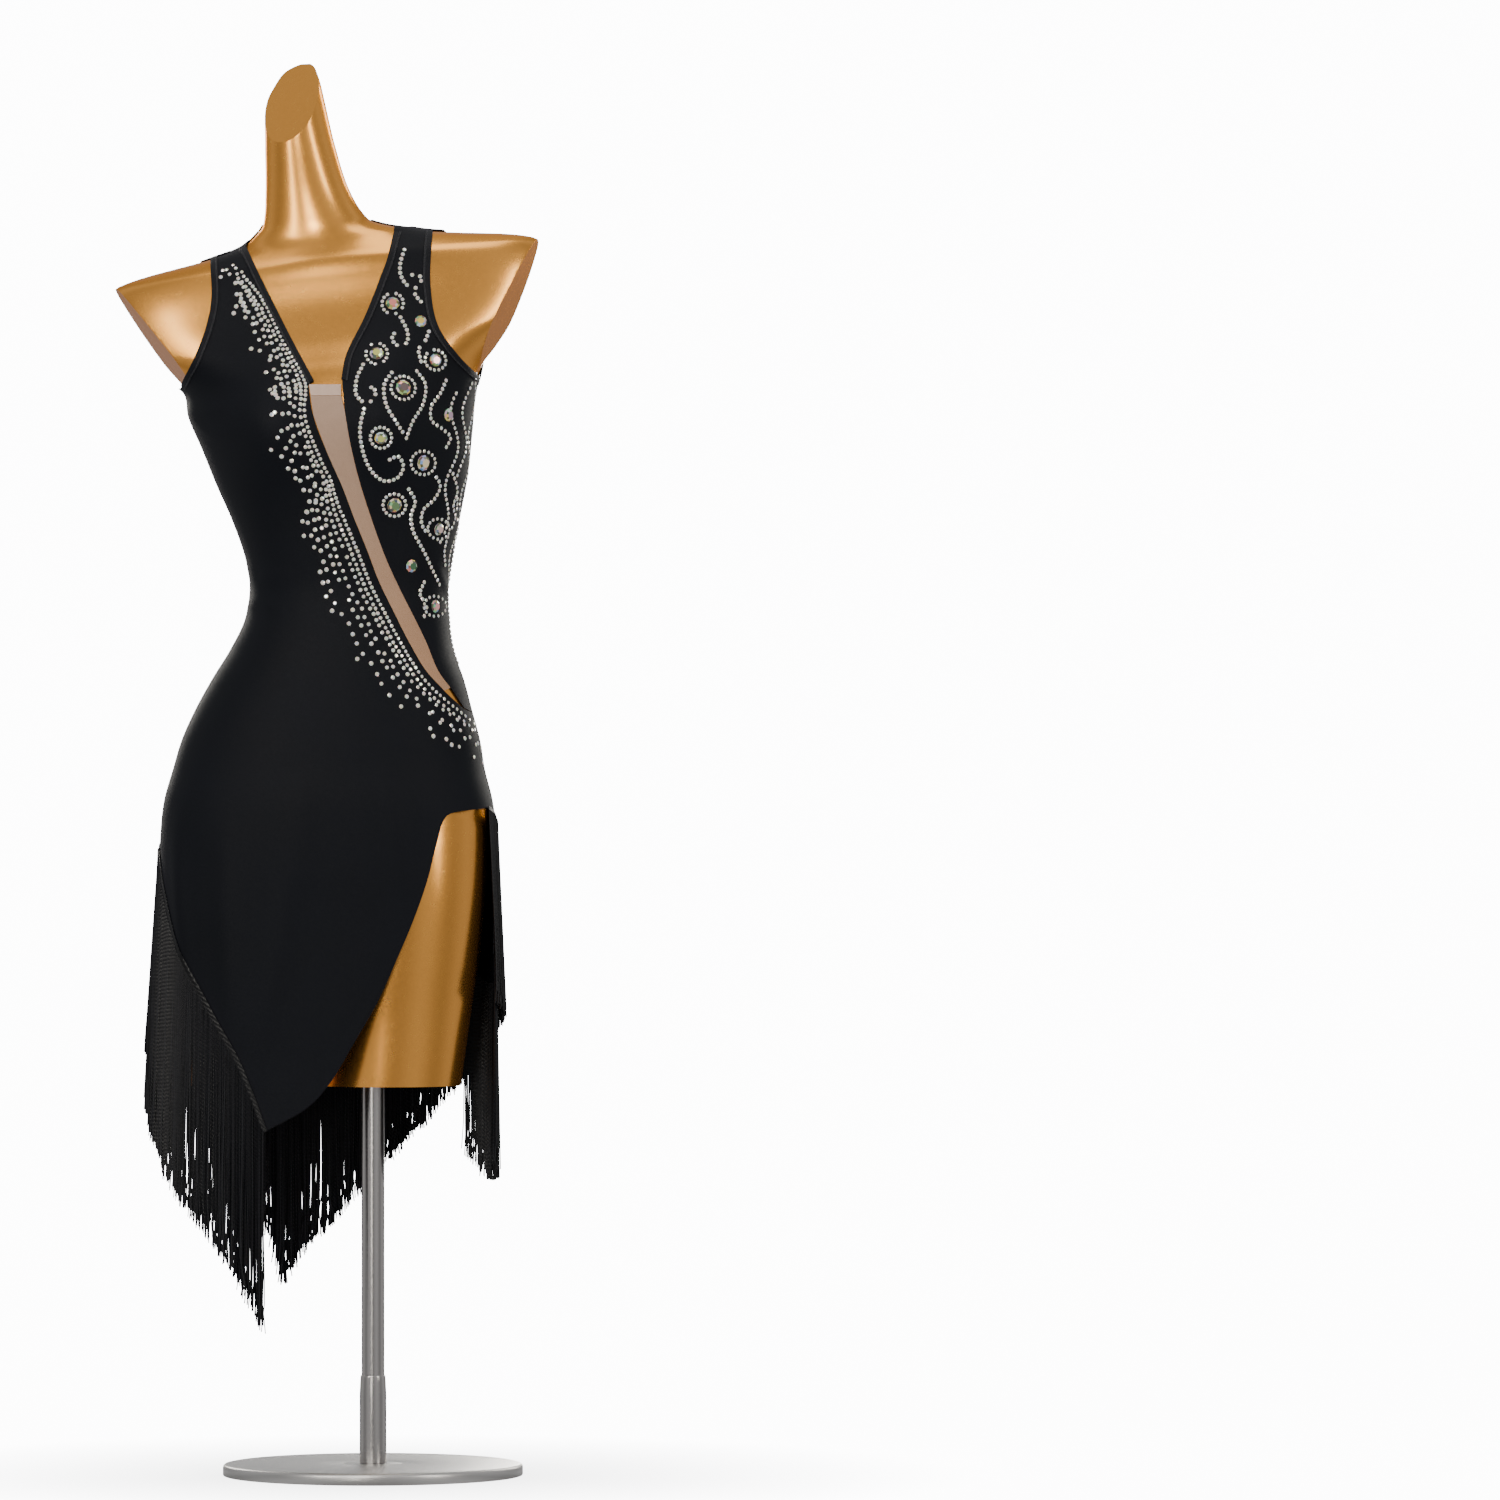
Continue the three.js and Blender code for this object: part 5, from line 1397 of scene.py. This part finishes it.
class DANCE_OT_stage(bpy.types.Operator):
    """Lays the pale floor that rises into a backdrop all round, and sets lights and camera"""

    bl_idname = "dance.stage"
    bl_label = "Stage"

    def execute(self, context):
        profile = [(0, 0), (4000, 0), (8000, 0), (11000, 120), (14000, 900), (16500, 2800), (18000, 6000),
                   (18000, 11000), (13000, 15500), (0, 17500)]
        bm = spun(profile, 96)
        bmesh.ops.reverse_faces(bm, faces=bm.faces)
        bmesh.ops.translate(bm, verts=bm.verts, vec=(0, 0, -0.0002))
        backdrop = bare_object("floor_and_backdrop", bm)
        backdrop.data.shade_smooth()
        backdrop.data.materials.append(self.paper())
        # place, watts, and width and height in metres
        lights = [
            ((-2.0, -2.7, 1.8), 26, (0.45, 1.8)), ((2.6, -2.1, 1.6), 25, (0.42, 1.8)),
            ((-1.6, 3.0, 1.7), 28, (0.5, 1.6)), ((1.8, 2.8, 1.6), 26, (0.5, 1.6)),
            ((0.0, -0.3, 3.6), 20, (1.6, 1.6)), ((-0.5, -3.3, 2.1), 32, (0.7, 1.0)),
            ((-0.7, -3.5, 0.35), 9, (0.35, 1.1)), ((0.3, 3.5, 0.7), 18, (0.4, 1.2)),
        ]
        aim = Vector((-0.03, 0, 0.85))
        for i, (spot, power, (wide, tall)) in enumerate(lights):
            lamp = bpy.data.lights.new(f"softbox {i + 1}", "AREA")
            lamp.shape = "RECTANGLE"
            lamp.size, lamp.size_y = wide, tall
            lamp.energy = power
            lamp.color = (1.0, 0.96, 0.88)
            holder = linked(lamp.name, lamp)
            holder.location = spot
            holder.rotation_euler = (aim - Vector(spot)).to_track_quat("-Z", "Y").to_euler()
        world = bpy.data.worlds.new("Studio")
        world.use_nodes = True
        sky = world.node_tree.nodes["Background"].inputs
        sky["Color"].default_value = (0.9, 0.93, 1.0, 1)
        sky["Strength"].default_value = 0.2
        context.scene.world = world
        camera = bpy.data.cameras.new("camera")
        camera.sensor_width = 36
        camera.lens = 240
        camera.clip_end = 60
        holder = linked("camera", camera)
        holder.location = (0.377, -10.0, 0.725)
        holder.rotation_euler = (math.pi / 2, 0, 0)
        context.scene.camera = holder
        return {"FINISHED"}

    @staticmethod
    def paper():
        """Paper that glows plain white where the camera sees it, with that glow painted dimmer round the
        foot, where a lit surface mixed in shows the foot's real shadow. To other rays it glows dimmer, in
        soft bands and brighter higher up, and so lights the form.
        """
        m, t, _, where = start_material("Studio paper", (0.8, 0.8, 0.805), 0.9)
        nodes = m.node_tree.nodes
        glow = t.add("ShaderNodeEmission")
        white = t.mix(t.noise(where, 0.7, 2.0), (0.97, 0.975, 0.99, 1), (1.0, 1.0, 1.0, 1))
        t.put(glow.inputs["Color"], white)
        seen = t.add("ShaderNodeLightPath").outputs["Is Camera Ray"]
        parts = t.parts(where)
        x, y, z = parts["X"], parts["Y"], parts["Z"]
        high = t.maths("MULTIPLY_ADD", z, 0.06, 0.0, clamp=True)
        bands = t.maths("SINE", t.maths("MULTIPLY", t.maths("ARCTAN2", y, x), 5.0))
        behind = t.maths("MULTIPLY_ADD", y, 0.09, -0.8, clamp=True)
        soft = t.maths("MULTIPLY_ADD", bands, 0.12, t.maths("MULTIPLY_ADD", high, 0.1, 0.42), clamp=True)
        soft = t.maths("MULTIPLY_ADD", behind, 0.06, soft)
        # Painted shade round the foot: within about 0.6 m of the foot, the camera's glow is lowered by up to
        # 5, and half of it is swapped for a lit surface that takes the foot's real shadow.
        reach = t.maths("SQRT", t.maths("ADD", t.maths("MULTIPLY", x, x), t.maths("MULTIPLY", y, y)))
        near = t.maths("MULTIPLY", seen, t.maths("MULTIPLY_ADD", reach, -2.0, 1.2, clamp=True))
        bright = t.maths("MULTIPLY_ADD", seen, 13.0, soft)
        t.put(glow.inputs["Strength"], t.maths("MULTIPLY_ADD", near, -5.0, bright))
        both = t.add("ShaderNodeMixShader")
        t.put(both.inputs[0], t.maths("MULTIPLY", near, 0.5))
        t.put(both.inputs[1], glow.outputs[0])
        t.put(both.inputs[2], nodes["Principled BSDF"].outputs[0])
        t.put(nodes["Material Output"].inputs["Surface"], both.outputs[0])
        return m


class DANCE_PT_panel(bpy.types.Panel):
    """Lists the dress's pieces in the sidebar"""

    bl_idname = "DANCE_PT_panel"
    bl_label = "Dance dress"
    bl_space_type = "VIEW_3D"
    bl_region_type = "UI"
    bl_category = "Dance dress"

    def draw(self, context):
        for group in (context.scene.dance_dress_sizes, context.scene.dance_dress_looks):
            for name in group.bl_rna.properties.keys():
                if name not in {"rna_type", "name"}:
                    self.layout.prop(group, name)
        for operator in OPERATORS:
            self.layout.operator(operator.bl_idname)


OPERATORS = (
    DANCE_OT_stage, DANCE_OT_stand, DANCE_OT_form, DANCE_OT_panels, DANCE_OT_bindings,
    DANCE_OT_fringes, DANCE_OT_stones, DANCE_OT_small_stones, DANCE_OT_clasp, DANCE_OT_cuts,
)
CLASSES = (DanceDressSizes, DanceDressLooks, *OPERATORS, DANCE_PT_panel)


def register():
    for one in CLASSES:
        bpy.utils.register_class(one)
    bpy.types.Scene.dance_dress_sizes = bpy.props.PointerProperty(type=DanceDressSizes)
    bpy.types.Scene.dance_dress_looks = bpy.props.PointerProperty(type=DanceDressLooks)


def unregister():
    del bpy.types.Scene.dance_dress_looks
    del bpy.types.Scene.dance_dress_sizes
    for one in reversed(CLASSES):
        bpy.utils.unregister_class(one)


def main():
    register()
    for operator in OPERATORS:
        family, name = operator.bl_idname.split(".")
        getattr(getattr(bpy.ops, family), name)()


if __name__ == "__main__":
    main()
